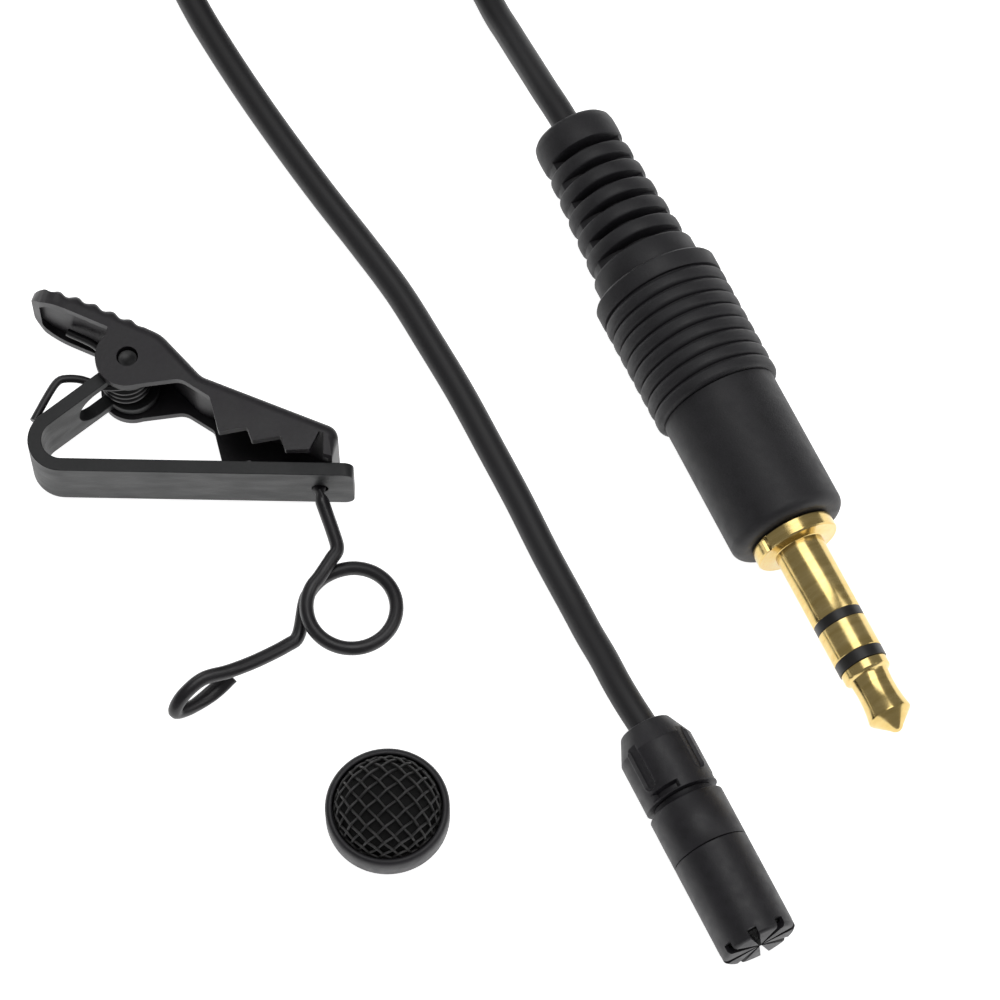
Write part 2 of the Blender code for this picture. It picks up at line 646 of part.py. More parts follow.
HEAD_ROUTE = [(15.25, -6.1, 2.6), (14.3, -4.3, 2.42), (13.46, -2.4, 2.0), (12.46, -0.35, 1.5),
              (11.55, 1.65, 1.15), (9.6, 5.6, 1.02), (7.75, 9.6, 1.02), (5.8, 13.55, 1.02),
              (3.8, 17.55, 1.02), (1.64, 21.45, 1.02), (-0.61, 25.35, 1.02),
              (-3.16, 29.05, 1.02), (-5.79, 32.7, 1.02), (-8.39, 36.5, 1.02),
              (-10.93, 40.4, 1.02), (-13.36, 44.4, 1.02), (-15.3, 47.9, 1.02),
              (-17.16, 51.95, 1.02), (-18.21, 54.85, 1.02)]
PLUG_ROUTE = [(10.44, 37.95, 4.45), (9.64, 39.50, 4.10), (8.74, 41.50, 3.40), (7.89, 43.45, 2.60),
              (7.04, 45.40, 1.85), (6.34, 46.90, 1.35), (5.69, 48.40, 1.10), (5.04, 50.05, 1.02),
              (4.59, 52.85, 1.02), (4.34, 55.75, 1.02)]


def cord_tube(name, start, route):
    """A free stretch of cord, from a fitting to the side of the coil."""
    points = [start] + [tuple(value * MM for value in point) for point in route]
    tube(name, smooth_route(points, 4.2 * MM), CORD_R, None, BLACK_RUBBER)


def cord_coil():
    """The outer shape of the wound cord: a ring of four cords by four, edges rounded."""
    inner, outer = COIL_R - COIL_BUNDLE / 2, COIL_R + COIL_BUNDLE / 2
    foot, top = COIL_LIFT, COIL_LIFT + COIL_BUNDLE
    edge = CORD_R
    coil = turned("cord_coil",
                  [(top, outer - edge), (top - edge, outer), (foot + edge, outer),
                   (foot, outer - edge)],
                  [(foot, inner + edge), (foot + edge, inner), (top - edge, inner),
                   (top, inner + edge)], None, BLACK_RUBBER, 40)
    coil.location = (*COIL_AT, 0.0)


def cable_tie():
    """A strap loop round the coil's bundle, lying in the plane that crosses it."""
    reach = COIL_BUNDLE / 2 + TIE_GAP
    half = reach + TIE_T
    at_z = COIL_LIFT + COIL_BUNDLE / 2
    corner = CORD_R
    outer = rounded([(-half, -half, corner + TIE_T), (half, -half, corner + TIE_T),
                     (half, half, corner + TIE_T), (-half, half, corner + TIE_T)])
    inner = rounded([(-reach, -reach, corner), (reach, -reach, corner), (reach, reach, corner),
                     (-reach, reach, corner)])
    holder = axis_empty("tie_axis", (COIL_AT[0] + COIL_R * math.cos(TIE_TURN),
                                     COIL_AT[1] + COIL_R * math.sin(TIE_TURN), at_z),
                        (math.pi / 2, 0.0, TIE_TURN))
    strap = plate("cable_tie", outer, TIE_W, holder, BLACK_PLASTIC)
    hole = plate("tie_cut", inner, 2 * TIE_W, holder, None)
    cut(strap, hole)


# ---------------------------------------------------------------- tie clip

def strip_outline():
    """The bent strip seen from its side: long arm, bend, back and pivot ear."""
    outer_y = -ARM_DROP - STRIP_T
    across = (-math.sin(BACK_ANGLE), math.cos(BACK_ANGLE))
    inner_offset = BACK_OFFSET - STRIP_T
    corner_outer_x = (across[1] * outer_y - BACK_OFFSET) / -across[0]
    corner_inner_x = (across[1] * -ARM_DROP - inner_offset) / -across[0]
    towards_bend = BACK_ANGLE + math.pi
    ear_start = towards_bend - math.asin(BACK_OFFSET / EAR_R)
    ear_end = towards_bend - math.asin(inner_offset / EAR_R) - 2 * math.pi
    back_ear = arc((0.0, 0.0), EAR_R, ear_start, ear_end)
    corners = [(ARM_REACH, -ARM_DROP, 0.0), (ARM_REACH, outer_y, 0.0),
               (corner_outer_x, outer_y, BEND_R + STRIP_T)]
    corners += [(x, y, 0.0) for x, y in back_ear]
    corners.append((corner_inner_x, -ARM_DROP, BEND_R))
    return rounded(corners)


def clip_base(base):
    strip = plate("clip_base", strip_outline(), STRIP_W, base, BLACK_PAINT)
    round_upright_edges(strip, ARM_REACH, ARM_CORNER_R)
    room = plate("coil_room_cut",
                 rotated([(-NOTCH_REACH, -2 * EAR_R), (2 * EAR_R, -2 * EAR_R),
                          (2 * EAR_R, 2 * EAR_R), (-NOTCH_REACH, 2 * EAR_R)], BACK_ANGLE),
                 STRIP_W - 2 * PRONG_W, base, None)
    cut(strip, room)
    pivot_hole = rod("pivot_hole_cut", PIVOT_R + PIVOT_PLAY, 2 * LEVER_W, base, None)
    pivot_hole.location.z = -LEVER_W
    cut(strip, pivot_hole)
    for radius, foot, length in ((HOLDER_HOLE_R, 2 * STRIP_T, 4 * STRIP_T),
                                 (HOLDER_HEAD_R + SEAT, HOLDER_HEAD_L + SEAT, STRIP_T)):
        hole = rod("holder_hole_cut", radius, length, base, None)
        hole.location = (HOLDER_AT_X, -ARM_DROP - foot, 0.0)
        hole.rotation_euler = (-math.pi / 2, 0.0, 0.0)
        cut(strip, hole)


def rotated(outline, angle):
    c, s = math.cos(angle), math.sin(angle)
    return [(c * x - s * y, s * x + c * y) for x, y in outline]


def round_upright_edges(piece, end_x, radius):
    """Rounds the two corners of a strip's end, seen on its broad face."""
    shape = bmesh.new()
    shape.from_mesh(piece.data)
    picked = []
    for edge in shape.edges:
        a, b = (vert.co for vert in edge.verts)
        at_end = abs(a.x - end_x) < 1e-6 and abs(b.x - end_x) < 1e-6
        if at_end and abs(a.z - b.z) < 1e-6 and abs(a.y - b.y) > 1e-5:
            picked.append(edge)
    bmesh.ops.bevel(shape, geom=picked, offset=radius, segments=4, profile=0.5,
                    affect="EDGES", offset_type="OFFSET")
    shape.to_mesh(piece.data)
    shape.free()


def offset_line(line, distance):
    """The corners of a line moved sideways to its right, with its radii kept true."""
    moved = []
    points = [Vector(corner[:2]) for corner in line]
    normals = []
    for before, after in zip(points, points[1:]):
        along = (after - before).normalized()
        normals.append(Vector((along.y, -along.x)))
    for index, point in enumerate(points):
        before = normals[max(index - 1, 0)]
        after = normals[min(index, len(normals) - 1)]
        middle = (before + after).normalized()
        place = point + middle * (distance / middle.dot(after))
        radius = line[index][2]
        if radius > 0.0:
            turns_right = before.cross(after) < 0.0
            radius += -distance if turns_right else distance
        moved.append((place.x, place.y, radius))
    return moved


def lever_outline():
    """The lever's side: its back, the foot, three teeth, the ear and the thumb pad."""
    foot = offset_line(WEB, SHEET_T)[-1]
    relief_x = foot[0] - RELIEF_STEP
    relief_y = 1.8 * MM - ARM_DROP
    corners = list(WEB)
    corners += [(foot[0], foot[1], 0.0), (foot[0] - 0.02 * MM, relief_y, 0.0),
                (relief_x, relief_y + 0.15 * MM, 0.0),
                (relief_x - 0.6 * MM, 0.6 * MM - ARM_DROP, 0.15 * MM)]
    for k in reversed(range(TOOTH_COUNT)):
        tip = [TOOTH_FIRST[i] + k * TOOTH_STEP[i] for i in (0, 1)]
        if k < TOOTH_COUNT - 1:
            corners.append((tip[0] + TOOTH_ROOT[0], tip[1] + TOOTH_ROOT[1], 0.12 * MM))
        corners.append((*tip, 0.12 * MM))
    corners += [(5.75 * MM, -2.9 * MM, 0.5 * MM), (3.7 * MM, -1.6 * MM, 1.2 * MM)]
    ear = arc((0.0, 0.0), LEVER_EAR_R, math.radians(-70.0), math.radians(-225.0))
    corners += [(x, y, 0.0) for x, y in ear]
    corners += [(*PAD_MEETS_EAR, 0.0), (*PAD_UNDER, 0.8 * MM),
                (PAD_END[0], PAD_END[1] - PAD_LIP, 0.3 * MM)]
    return rounded(corners)


def channel_outline():
    """What is taken out between the lever's two sides: all that lies under its back."""
    inner = offset_line(WEB, SHEET_T)
    far = 12.0 * MM
    start = (-12.0 * MM, inner[0][1] + (inner[0][1] - inner[1][1])
             / (inner[0][0] - inner[1][0]) * (-12.0 * MM - inner[0][0]), 0.0)
    return rounded([start, *inner[1:-1], (inner[-1][0], -far, 0.0), (-far, -far, 0.0)])


def clip_lever(lever):
    made = plate("clip_lever", lever_outline(), LEVER_W, lever, BLACK_PAINT)
    channel = plate("lever_channel_cut", channel_outline(), LEVER_W - 2 * SHEET_T, lever, None)
    cut(made, channel)
    hole = rod("lever_pivot_cut", PIVOT_R + PIVOT_PLAY, 2 * LEVER_W, lever, None)
    hole.location.z = -LEVER_W
    cut(made, hole)
    for side in (-1, 1):
        corner = plate("pad_corner_cut", pad_corner(side), 6.0 * MM, lever, None)
        slope = math.atan2(WEB[0][1] - WEB[1][1], WEB[0][0] - WEB[1][0])
        corner.location = (WEB[0][0], WEB[0][1], 0.0)
        corner.rotation_euler = (math.pi / 2, 0.0, slope)
        cut(made, corner)


def pad_corner(side):
    """The waste outside one rounded corner of the thumb pad, seen square on to the pad."""
    edge = LEVER_W / 2
    reach = PAD_ROUND
    centre = (-reach, side * (edge - reach))
    bow = arc(centre, reach, side * math.pi / 2, 0.0, math.radians(15.0))
    waste = MM
    return bow + [(waste, side * (edge - reach)), (waste, side * (edge + waste)),
                  (-reach, side * (edge + waste))]


def pivot_pin(base):
    length = LEVER_W - 2 * PIVOT_RECESS
    pin = rod("pivot_pin", PIVOT_R, length, base, STEEL)
    pin.location.z = -length / 2


def torsion_spring(base):
    """Turns round the pin, one leg on the strip's back and one under the thumb pad."""
    centre = (-SPRING_SHIFT, 0.0)
    half = STRIP_W / 2 - PRONG_W - SPRING_WIRE_R - SEAT
    steps = round(SPRING_TURNS * 14)
    points = [(x, y, half) for x, y in STRIP_LEG]
    for k in range(steps + 1):
        angle = SPRING_START + 2 * math.pi * SPRING_TURNS * k / steps
        points.append((centre[0] + SPRING_R * math.cos(angle),
                       centre[1] + SPRING_R * math.sin(angle), half - 2 * half * k / steps))
    points += [(x, y, -half) for x, y in PAD_LEG]
    tube("torsion_spring", points, SPRING_WIRE_R, base, BLACK_PAINT)


def holder_route():
    """From the staked head through the arm, once round the ring and on to the end loop."""
    cx, cy = HOLDER_RING_AT
    foot = -ARM_DROP - STRIP_T
    route = [(HOLDER_AT_X, -ARM_DROP - HOLDER_HEAD_L, 0.0), (HOLDER_AT_X, foot - 0.4 * MM, 0.0),
             *HOLDER_NECK]
    drop = 2.15 * HOLDER_R
    turns = 20
    for k in range(turns + 1):
        share = k / turns
        angle = HOLDER_RING_START + 2 * math.pi * share * HOLDER_RING_TURNS
        radius = HOLDER_RING_R + 0.25 * MM * max(0.0, share - 0.85) / 0.15
        route.append((cx + radius * math.cos(angle), cy + radius * math.sin(angle),
                      0.1 * MM - (drop + 0.1 * MM) * share ** 2))
    return route + [(12.15 * MM, -18.5 * MM, -drop), *HOLDER_TAIL]


def holder_wire(holder):
    """The wire holder, drawn in the clip's axes and moved to its own swivel axis."""
    swivel = Vector((HOLDER_AT_X, -ARM_DROP - STRIP_T, 0.0))
    points = [Vector(point) - swivel for point in smooth_route(holder_route(), 0.9 * MM)]
    wire = to_mesh(tube("holder_wire", points, HOLDER_R, holder, BLACK_PAINT))
    head = rod("holder_head", HOLDER_HEAD_R, HOLDER_HEAD_L, holder, None)
    head.location = (0.0, STRIP_T - HOLDER_HEAD_L, 0.0)
    head.rotation_euler = (-math.pi / 2, 0.0, 0.0)
    join(wire, head)
    wings = rod("holder_wings", HOLDER_WING_R, HOLDER_WING_L, holder, None)
    wings.scale = (1.0, 0.5, 1.0)
    wings.location = (0.0, -SEAT - HOLDER_WING_L, 0.0)
    wings.rotation_euler = (-math.pi / 2, 0.0, 0.0)
    join(wire, wings)


# ---------------------------------------------------------------- windscreen

def windscreen():
    screen = axis_empty("windscreen_axis", (*SCREEN_AT, 0.0))
    inner = SCREEN_R - SCREEN_WALL
    edge = SCREEN_EDGE
    turned("screen_ring",
           [(SCREEN_H, SCREEN_R - edge), (SCREEN_H - edge, SCREEN_R), (edge, SCREEN_R),
            (0.0, SCREEN_R - edge)],
           [(0.0, SCREEN_LIP_R), (SCREEN_FLOOR, SCREEN_LIP_R), (SCREEN_FLOOR, inner),
            (SCREEN_H, inner)], screen, BLACK_METAL, 40)
    bush_foot = SCREEN_FLOOR + SEAT
    bush_top = bush_foot + BUSH_H
    turned("fit_bush", [(bush_top, inner - FIT), (bush_foot, inner - FIT)],
           [(bush_foot, HEAD_R + FIT), (bush_top, HEAD_R + FIT)], screen, BLACK_RUBBER, 28)
    foam_foot = bush_top + SEAT
    foam_r = DOME_R - DOME_T - 2 * SEAT
    foam_top = foam_foot + DOME_RISE * 0.5
    solid_turned("foam_pad", [(foam_top, foam_r * 0.6), (foam_foot, foam_r)], screen, FOAM,
                 SMALL_ROUND)
    mesh_dome(screen, foam_foot)


def mesh_dome(screen, foot):
    """The wire mesh as a thin domed shell that stands in the ring."""
    ball_r = (DOME_R ** 2 + DOME_RISE ** 2) / (2 * DOME_RISE)
    half = math.asin(DOME_R / ball_r)
    centre_z = foot + DOME_RISE - ball_r
    steps = 7
    outer = []
    for k in range(steps + 1):
        angle = half * k / steps
        outer.append((centre_z + ball_r * math.cos(angle), ball_r * math.sin(angle)))
    inner = []
    inner_r = ball_r - DOME_T
    inner_half = math.asin((DOME_R - DOME_T) / inner_r)
    for k in reversed(range(steps + 1)):
        angle = inner_half * k / steps
        inner.append((max(foot, centre_z + inner_r * math.cos(angle)), inner_r * math.sin(angle)))
    turned("mesh_dome", outer + inner, (), screen, BLACK_PAINT, 28)


# ---------------------------------------------------------------- the whole set

def build():
    head = lying("head_axis", HEAD_AT, HEAD_Z, HEAD_TURN)
    for make in (rear_collar, cord_bush, crimp_ferrule, head_wires, barrel_sleeve, circuit_board,
                 capsule_stack, capsule_housing):
        make(head)
    plug = lying("plug_axis", PLUG_AT, PLUG_Z, PLUG_TURN)
    for make in (strain_relief_boot, plug_grip, plug_contacts, plug_core):
        make(plug)
    cord_tube("head_cord", axis_point(HEAD_AT, HEAD_Z, HEAD_TURN, -CORD_GAP), HEAD_ROUTE)
    cord_tube("plug_cord", axis_point(PLUG_AT, PLUG_Z, PLUG_TURN, -CORD_GAP), PLUG_ROUTE)
    cord_coil()
    cable_tie()
    base = axis_empty("clip_axis", (*CLIP_AT, LEVER_W / 2), (0.0, 0.0, CLIP_TURN))
    for make in (clip_base, pivot_pin, torsion_spring):
        make(base)
    clip_lever(axis_empty("pivot_axis", (0.0, 0.0, 0.0), parent=base))
    holder_wire(axis_empty("swivel_axis", (HOLDER_AT_X, -ARM_DROP - STRIP_T, 0.0), parent=base))
    windscreen()


build()
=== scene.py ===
"""Looks of the lavalier microphone set: the head on its lead, the tie clip with its wire
holder, the push-on windscreen, and the plug, lying on a pale table top.

Shapes are drawn in millimetres, in each item's own axes, and carried to the model's frame.
"""

import json
import math

import bmesh
import bpy
import numpy as np
from mathutils import Matrix, Vector


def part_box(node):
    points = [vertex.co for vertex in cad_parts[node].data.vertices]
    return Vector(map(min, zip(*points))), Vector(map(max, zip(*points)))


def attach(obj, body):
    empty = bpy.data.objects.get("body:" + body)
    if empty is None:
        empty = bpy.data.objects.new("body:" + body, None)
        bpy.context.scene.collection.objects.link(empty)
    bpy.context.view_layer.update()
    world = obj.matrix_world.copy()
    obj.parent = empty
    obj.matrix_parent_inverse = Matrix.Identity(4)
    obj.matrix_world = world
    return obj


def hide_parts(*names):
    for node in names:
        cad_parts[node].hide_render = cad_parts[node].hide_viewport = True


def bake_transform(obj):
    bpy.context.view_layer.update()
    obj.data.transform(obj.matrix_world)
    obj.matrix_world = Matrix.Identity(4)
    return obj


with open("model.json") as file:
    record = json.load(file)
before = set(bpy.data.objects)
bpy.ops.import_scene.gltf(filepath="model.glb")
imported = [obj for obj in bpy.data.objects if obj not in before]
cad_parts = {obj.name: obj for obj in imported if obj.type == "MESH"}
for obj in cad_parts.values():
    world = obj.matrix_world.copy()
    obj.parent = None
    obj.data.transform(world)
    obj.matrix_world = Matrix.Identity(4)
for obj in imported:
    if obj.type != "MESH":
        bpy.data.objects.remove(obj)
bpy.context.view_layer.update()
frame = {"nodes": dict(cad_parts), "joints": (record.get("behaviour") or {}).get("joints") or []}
NODES = frame["nodes"]
JOINTS = {joint["name"]: joint for joint in frame["joints"]}
MM = 0.001
SCALE = Matrix.Diagonal((MM, MM, MM, 1.0))


# ---------------------------------------------------------------- axes taken from the model

def corners_of(name):
    """The separate corners of a CAD node, in metres."""
    found = {tuple(round(value, 7) for value in vert.co) for vert in NODES[name].data.vertices}
    return np.array(sorted(found))


def axes(x, y, z, origin):
    """A frame from three axes and an origin in metres, for shapes drawn in millimetres."""
    return Matrix.Translation(origin) @ Matrix((x, y, z)).transposed().to_4x4() @ SCALE


def lying_axes(back_node, front_node, foot_node):
    """A lying item's own axes: Z along it from the cord's end, X down to the table."""
    back, front = (Vector(corners_of(name).mean(axis=0)) for name in (back_node, front_node))
    along = (front - back).normalized()
    down = Vector((0.0, 0.0, -1.0))
    foot = min((Vector(point) - back).dot(along) for point in corners_of(foot_node))
    return axes(down, along.cross(down), along, back + along * foot)


def span(name, place):
    """Where a node starts and ends along an item's axis, in millimetres."""
    local = [place.inverted() @ Vector(point) for point in corners_of(name)]
    return min(point.z for point in local), max(point.z for point in local)


def reach(name, place):
    """A turned node's radius round an item's axis, in millimetres."""
    local = [place.inverted() @ Vector(point) for point in corners_of(name)]
    return max(point.xy.length for point in local)


HEAD = lying_axes("cord_bush", "dust_felt", "rear_collar")
PLUG = lying_axes("plug_core", "plug_tip", "strain_relief_boot")
PIVOT = Vector(JOINTS["jaw_hinge"]["pos_m"])
UP = Vector((0.0, 0.0, 1.0))
CLIP_Y = Vector(JOINTS["holder_swivel"]["axis"]).normalized()
CLIP = axes(CLIP_Y.cross(UP), CLIP_Y, UP, PIVOT)
SCREEN_LOW, SCREEN_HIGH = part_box("screen_ring")
SCREEN_MID = (SCREEN_LOW + SCREEN_HIGH) / 2
SCREEN = axes(Vector((1.0, 0.0, 0.0)), Vector((0.0, 1.0, 0.0)), UP,
              Vector((SCREEN_MID.x, SCREEN_MID.y, SCREEN_LOW.z)))
COIL_LOW, COIL_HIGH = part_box("cord_coil")
COIL_MID = (COIL_LOW + COIL_HIGH) / 2 / MM


# ---------------------------------------------------------------- camera and light

LOOK_AT = Vector((6.49, 10.05, 0.0)) * MM
CAMERA_RISE = math.radians(67.0)
CAMERA_AWAY = 329.0 * MM
CAMERA_LENS = 172.8
FLOOR_GLOW = 0.9            # the table's own light, which leaves only a trace of shadow
WORLD_LIGHT = 0.24
# Each soft light's place and size in metres, and its power in watts.
SOFTBOXES = {"top_softbox": ((0.06, 0.06, 0.5), (0.34, 0.34), 0.85),
             "side_softbox": ((0.45, -0.05, 0.35), (0.25, 0.25), 0.3),
             "back_softbox": ((-0.25, 0.5, 0.3), (0.3, 0.2), 0.35)}


def make_camera():
    """The camera, high over the set and square on to its left and right."""
    made = bpy.data.objects.new("camera", bpy.data.cameras.new("camera"))
    bpy.context.scene.collection.objects.link(made)
    back = Vector((0.0, -math.cos(CAMERA_RISE), math.sin(CAMERA_RISE)))
    made.location = LOOK_AT + back * CAMERA_AWAY
    made.rotation_euler = (-back).to_track_quat("-Z", "Y").to_euler()
    made.data.lens = CAMERA_LENS
    made.data.sensor_width = 36.0
    made.data.clip_start = 0.01
    made.data.clip_end = 10.0
    bpy.context.scene.camera = made


def softbox(name, place, size, power):
    """A flat soft light that faces the set."""
    lamp = bpy.data.lights.new(name, "AREA")
    lamp.shape = "RECTANGLE"
    lamp.size, lamp.size_y = size
    lamp.energy = power
    made = bpy.data.objects.new(name, lamp)
    bpy.context.scene.collection.objects.link(made)
    made.location = Vector(place)
    made.rotation_euler = (LOOK_AT - made.location).to_track_quat("-Z", "Y").to_euler()


# ---------------------------------------------------------------- finishes

def linear(hex_colour):
    """An sRGB hex colour as linear RGBA."""
    values = [int(hex_colour[i:i + 2], 16) / 255 for i in (0, 2, 4)]
    return (*(v / 12.92 if v <= 0.04045 else ((v + 0.055) / 1.055) ** 2.4 for v in values), 1.0)


def add(tree, kind, inputs=None, **settings):
    """A node with its settings, and its inputs set to values or linked to sockets."""
    made = tree.nodes.new(kind)
    for name, value in settings.items():
        setattr(made, name, value)
    for name, value in (inputs or {}).items():
        if isinstance(value, bpy.types.NodeSocket):
            tree.links.new(value, made.inputs[name])
        else:
            made.inputs[name].default_value = value
    return made


def surface(name, shades, grain, roughness, bump=0.0, metallic=0.0, turn=None, stretch=None,
            on_uv=False):
    """A material whose colour, gloss and fine relief all follow its own grain.

    shades: two hex colours.  grain: size of the grain, in millimetres.  roughness: least and
    most.  bump: height of the relief, in millimetres.  turn: an item's axes, where the grain
    follows them.  stretch: how far the grain is drawn out in each direction.  on_uv: the grain
    follows the piece's own map, along and round it.
    """
    made = bpy.data.materials.new(name)
    made.use_nodes = True
    tree = made.node_tree
    shader = tree.nodes["Principled BSDF"]
    place = add(tree, "ShaderNodeTexCoord").outputs["UV" if on_uv else "Object"]
    if turn is not None:
        spin = turn.to_3x3().normalized().inverted().to_euler()
        place = add(tree, "ShaderNodeMapping", {"Vector": place, "Rotation": spin}).outputs[0]
    if stretch is not None:
        shrink = tuple(1.0 / value for value in stretch)
        place = add(tree, "ShaderNodeMapping", {"Vector": place, "Scale": shrink}).outputs[0]
    fine = add(tree, "ShaderNodeTexNoise", {"Vector": place, "Scale": 1.0 / (grain * MM),
                                            "Detail": 3.0, "Roughness": 0.6})
    broad = add(tree, "ShaderNodeTexNoise", {"Vector": place, "Scale": 0.12 / (grain * MM),
                                             "Detail": 2.0})
    both = add(tree, "ShaderNodeMath", {0: fine.outputs["Fac"], 1: broad.outputs["Fac"]},
               operation="ADD")
    share = add(tree, "ShaderNodeMapRange", {"Value": both.outputs[0], "From Min": 0.5,
                                             "From Max": 1.5})
    colour = add(tree, "ShaderNodeMix", {0: share.outputs[0], 6: linear(shades[0]),
                                         7: linear(shades[1])}, data_type="RGBA")
    gloss = add(tree, "ShaderNodeMapRange", {"Value": broad.outputs["Fac"], "From Min": 0.3,
                                             "From Max": 0.7, "To Min": roughness[0],
                                             "To Max": roughness[1]})
    tree.links.new(colour.outputs[2], shader.inputs["Base Color"])
    tree.links.new(gloss.outputs[0], shader.inputs["Roughness"])
    if bump:
        relief = add(tree, "ShaderNodeBump", {"Height": fine.outputs["Fac"], "Strength": 1.0,
                                              "Distance": bump * MM})
        tree.links.new(relief.outputs[0], shader.inputs["Normal"])
    shader.inputs["Metallic"].default_value = metallic
    return made


# Anodised aluminium, bead blasted and dyed: a deep satin black with a fine even tooth.
ANODISED = surface("black_anodised_aluminium_blasted", ("111013", "1F1D23"), 0.09, (0.42, 0.56),
                   0.006)
# Spring steel, phosphated: a thin dull grey-black skin that shows the rolled grain beneath.
PHOSPHATED = surface("black_phosphated_spring_steel", ("1B1C1D", "262728"), 0.1, (0.42, 0.56),
                     0.008, 0.2, CLIP, (3.0, 3.0, 1.0))
# Stoving enamel on pressed steel: a smooth semi-gloss black, slightly rippled by its flow.
ENAMEL = surface("black_stoved_enamel_on_steel", ("121113", "242026"), 0.3, (0.38, 0.52), 0.01)
# Enamelled steel wire: the same black, drawn smooth, so its highlights run along it.
WIRE = surface("black_enamelled_drawn_wire", ("131214", "201E22"), 0.12, (0.3, 0.44), 0.002)
# Blackened woven steel wire: small bright crowns on a dark weave.
CLOTH = surface("blackened_woven_steel_wire", ("2A2A2A", "4C4B4B"), 0.12, (0.36, 0.52), 0.003, 0.4)
# Flexible PVC, injection moulded with a spark-eroded mould: matt with a soft broad sheen.
PVC = surface("black_moulded_flexible_pvc", ("141316", "222125"), 0.13, (0.5, 0.62), 0.01)
# Extruded PVC jacket: satin, with slight drawn-out marks along its length.
JACKET = surface("black_extruded_pvc_jacket", ("141315", "222124"), 1.0, (0.44, 0.58), 0.012,
                 on_uv=True, stretch=(0.35, 9.0, 1.0))
# Gold plate over turned brass: bright, with faint turning rings that streak its reflections.
GOLD = surface("gold_plated_turned_brass", ("C8AC66", "E4CC90"), 0.05, (0.16, 0.24), 0.0006, 1.0,
               PLUG, (14.0, 14.0, 1.0))
# Acetal, turned: a plain, slightly glossy black between the contacts.
ACETAL = surface("black_turned_acetal", ("141313", "22201E"), 0.1, (0.34, 0.46), 0.002)
# Nylon 66, moulded: the cable tie's faint milky black and soft gloss.
NYLON = surface("black_moulded_nylon", ("19191C", "26262A"), 0.2, (0.36, 0.5), 0.005)
# Nitrile rubber, moulded: flat black with almost no gloss.
RUBBER = surface("black_moulded_nitrile", ("151516", "1F1F20"), 0.15, (0.62, 0.75), 0.006)
# Reticulated polyurethane foam, dyed: its 0.3 mm cells read as soft pits in near black.
FOAM = surface("black_reticulated_foam", ("050505", "0F0F0F"), 0.3, (0.9, 0.98), 0.09)
# Drawn aluminium can: bright, with drawing marks along its side.
CAN = surface("drawn_aluminium_can", ("A9ABAE", "CDCFD2"), 0.08, (0.22, 0.36), 0.002, 1.0,
              HEAD, (1.0, 1.0, 10.0))
# Blackened steel pin, with its colour darkened past that steel's own black as painted shade: the
# near black stands in for the shadow in the recess round its end, and its turned face only glints.
PIN_BLACK_AND_PAINTED_SHADE = surface("blackened_steel_darkened_as_recess_shade", ("060606", "131215"), 0.07, (0.26, 0.42), 0.002, 0.3)
# Tinned crimp brass: pale yellow with stamping marks.
BRASS = surface("rolled_brass", ("A88647", "C9A765"), 0.09, (0.25, 0.4), 0.003, 1.0)
# Glass-epoxy laminate: green solder resist over a 0.2 mm weave.
LAMINATE = surface("green_glass_epoxy_laminate", ("10492A", "1B6A3C"), 0.2, (0.3, 0.45), 0.004)
# Low-density polythene, moulded: a waxy off-white.
POLYTHENE = surface("white_moulded_polythene", ("D9D6CC", "EDEBE4"), 0.6, (0.38, 0.5), 0.006)
# Wire insulation: extruded PVC in red and in white, smooth with a soft gloss.
RED_PVC = surface("red_extruded_wire_pvc", ("8E1713", "B3241D"), 0.2, (0.35, 0.5), 0.003)
WHITE_PVC = surface("white_extruded_wire_pvc", ("CFCFCB", "E6E6E2"), 0.2, (0.35, 0.5), 0.003)


# ---------------------------------------------------------------- outlines, all in millimetres

def arc(centre, radius, start, end, step=6.0):
    """Points on an arc, its angles in degrees."""
    count = max(2, math.ceil(abs(end - start) / step) + 1)
    turns = [math.radians(start + (end - start) * i / (count - 1)) for i in range(count)]
    return [(centre[0] + radius * math.cos(a), centre[1] + radius * math.sin(a)) for a in turns]


def rounded(corners):
    """An outline from (x, y, radius) corners, each rounded to its radius."""
    outline = []
    for index, (x, y, radius) in enumerate(corners):
        here = Vector((x, y))
        if radius <= 0.0:
            outline.append((x, y))
            continue
        back = (Vector(corners[index - 1][:2]) - here).normalized()
        ahead = (Vector(corners[(index + 1) % len(corners)][:2]) - here).normalized()
        half = back.angle(ahead) / 2
        centre = here + (back + ahead).normalized() * (radius / math.sin(half))
        first = here + back * (radius / math.tan(half)) - centre
        last = here + ahead * (radius / math.tan(half)) - centre
        start = math.degrees(math.atan2(first.y, first.x))
        sweep = (math.degrees(math.atan2(last.y, last.x)) - start + 180.0) % 360.0 - 180.0
        outline += arc(centre, radius, start, start + sweep)
    return outline


def oblong(left, low, right, high, radius):
    """An upright rectangle with rounded corners."""
    return rounded([(left, low, radius), (right, low, radius), (right, high, radius),
                    (left, high, radius)])


def nearest(point, a, b):
    """The point nearest to another on a straight piece of a line."""
    along = b - a
    share = max(0.0, min(1.0, (point - a).dot(along) / max(along.length_squared, 1e-9)))
    return a + along * share


def gap_to(point, line):
    """How far a flat point lies from a line of points."""
    return min((point - nearest(point, a, b)).length for a, b in zip(line, line[1:]))


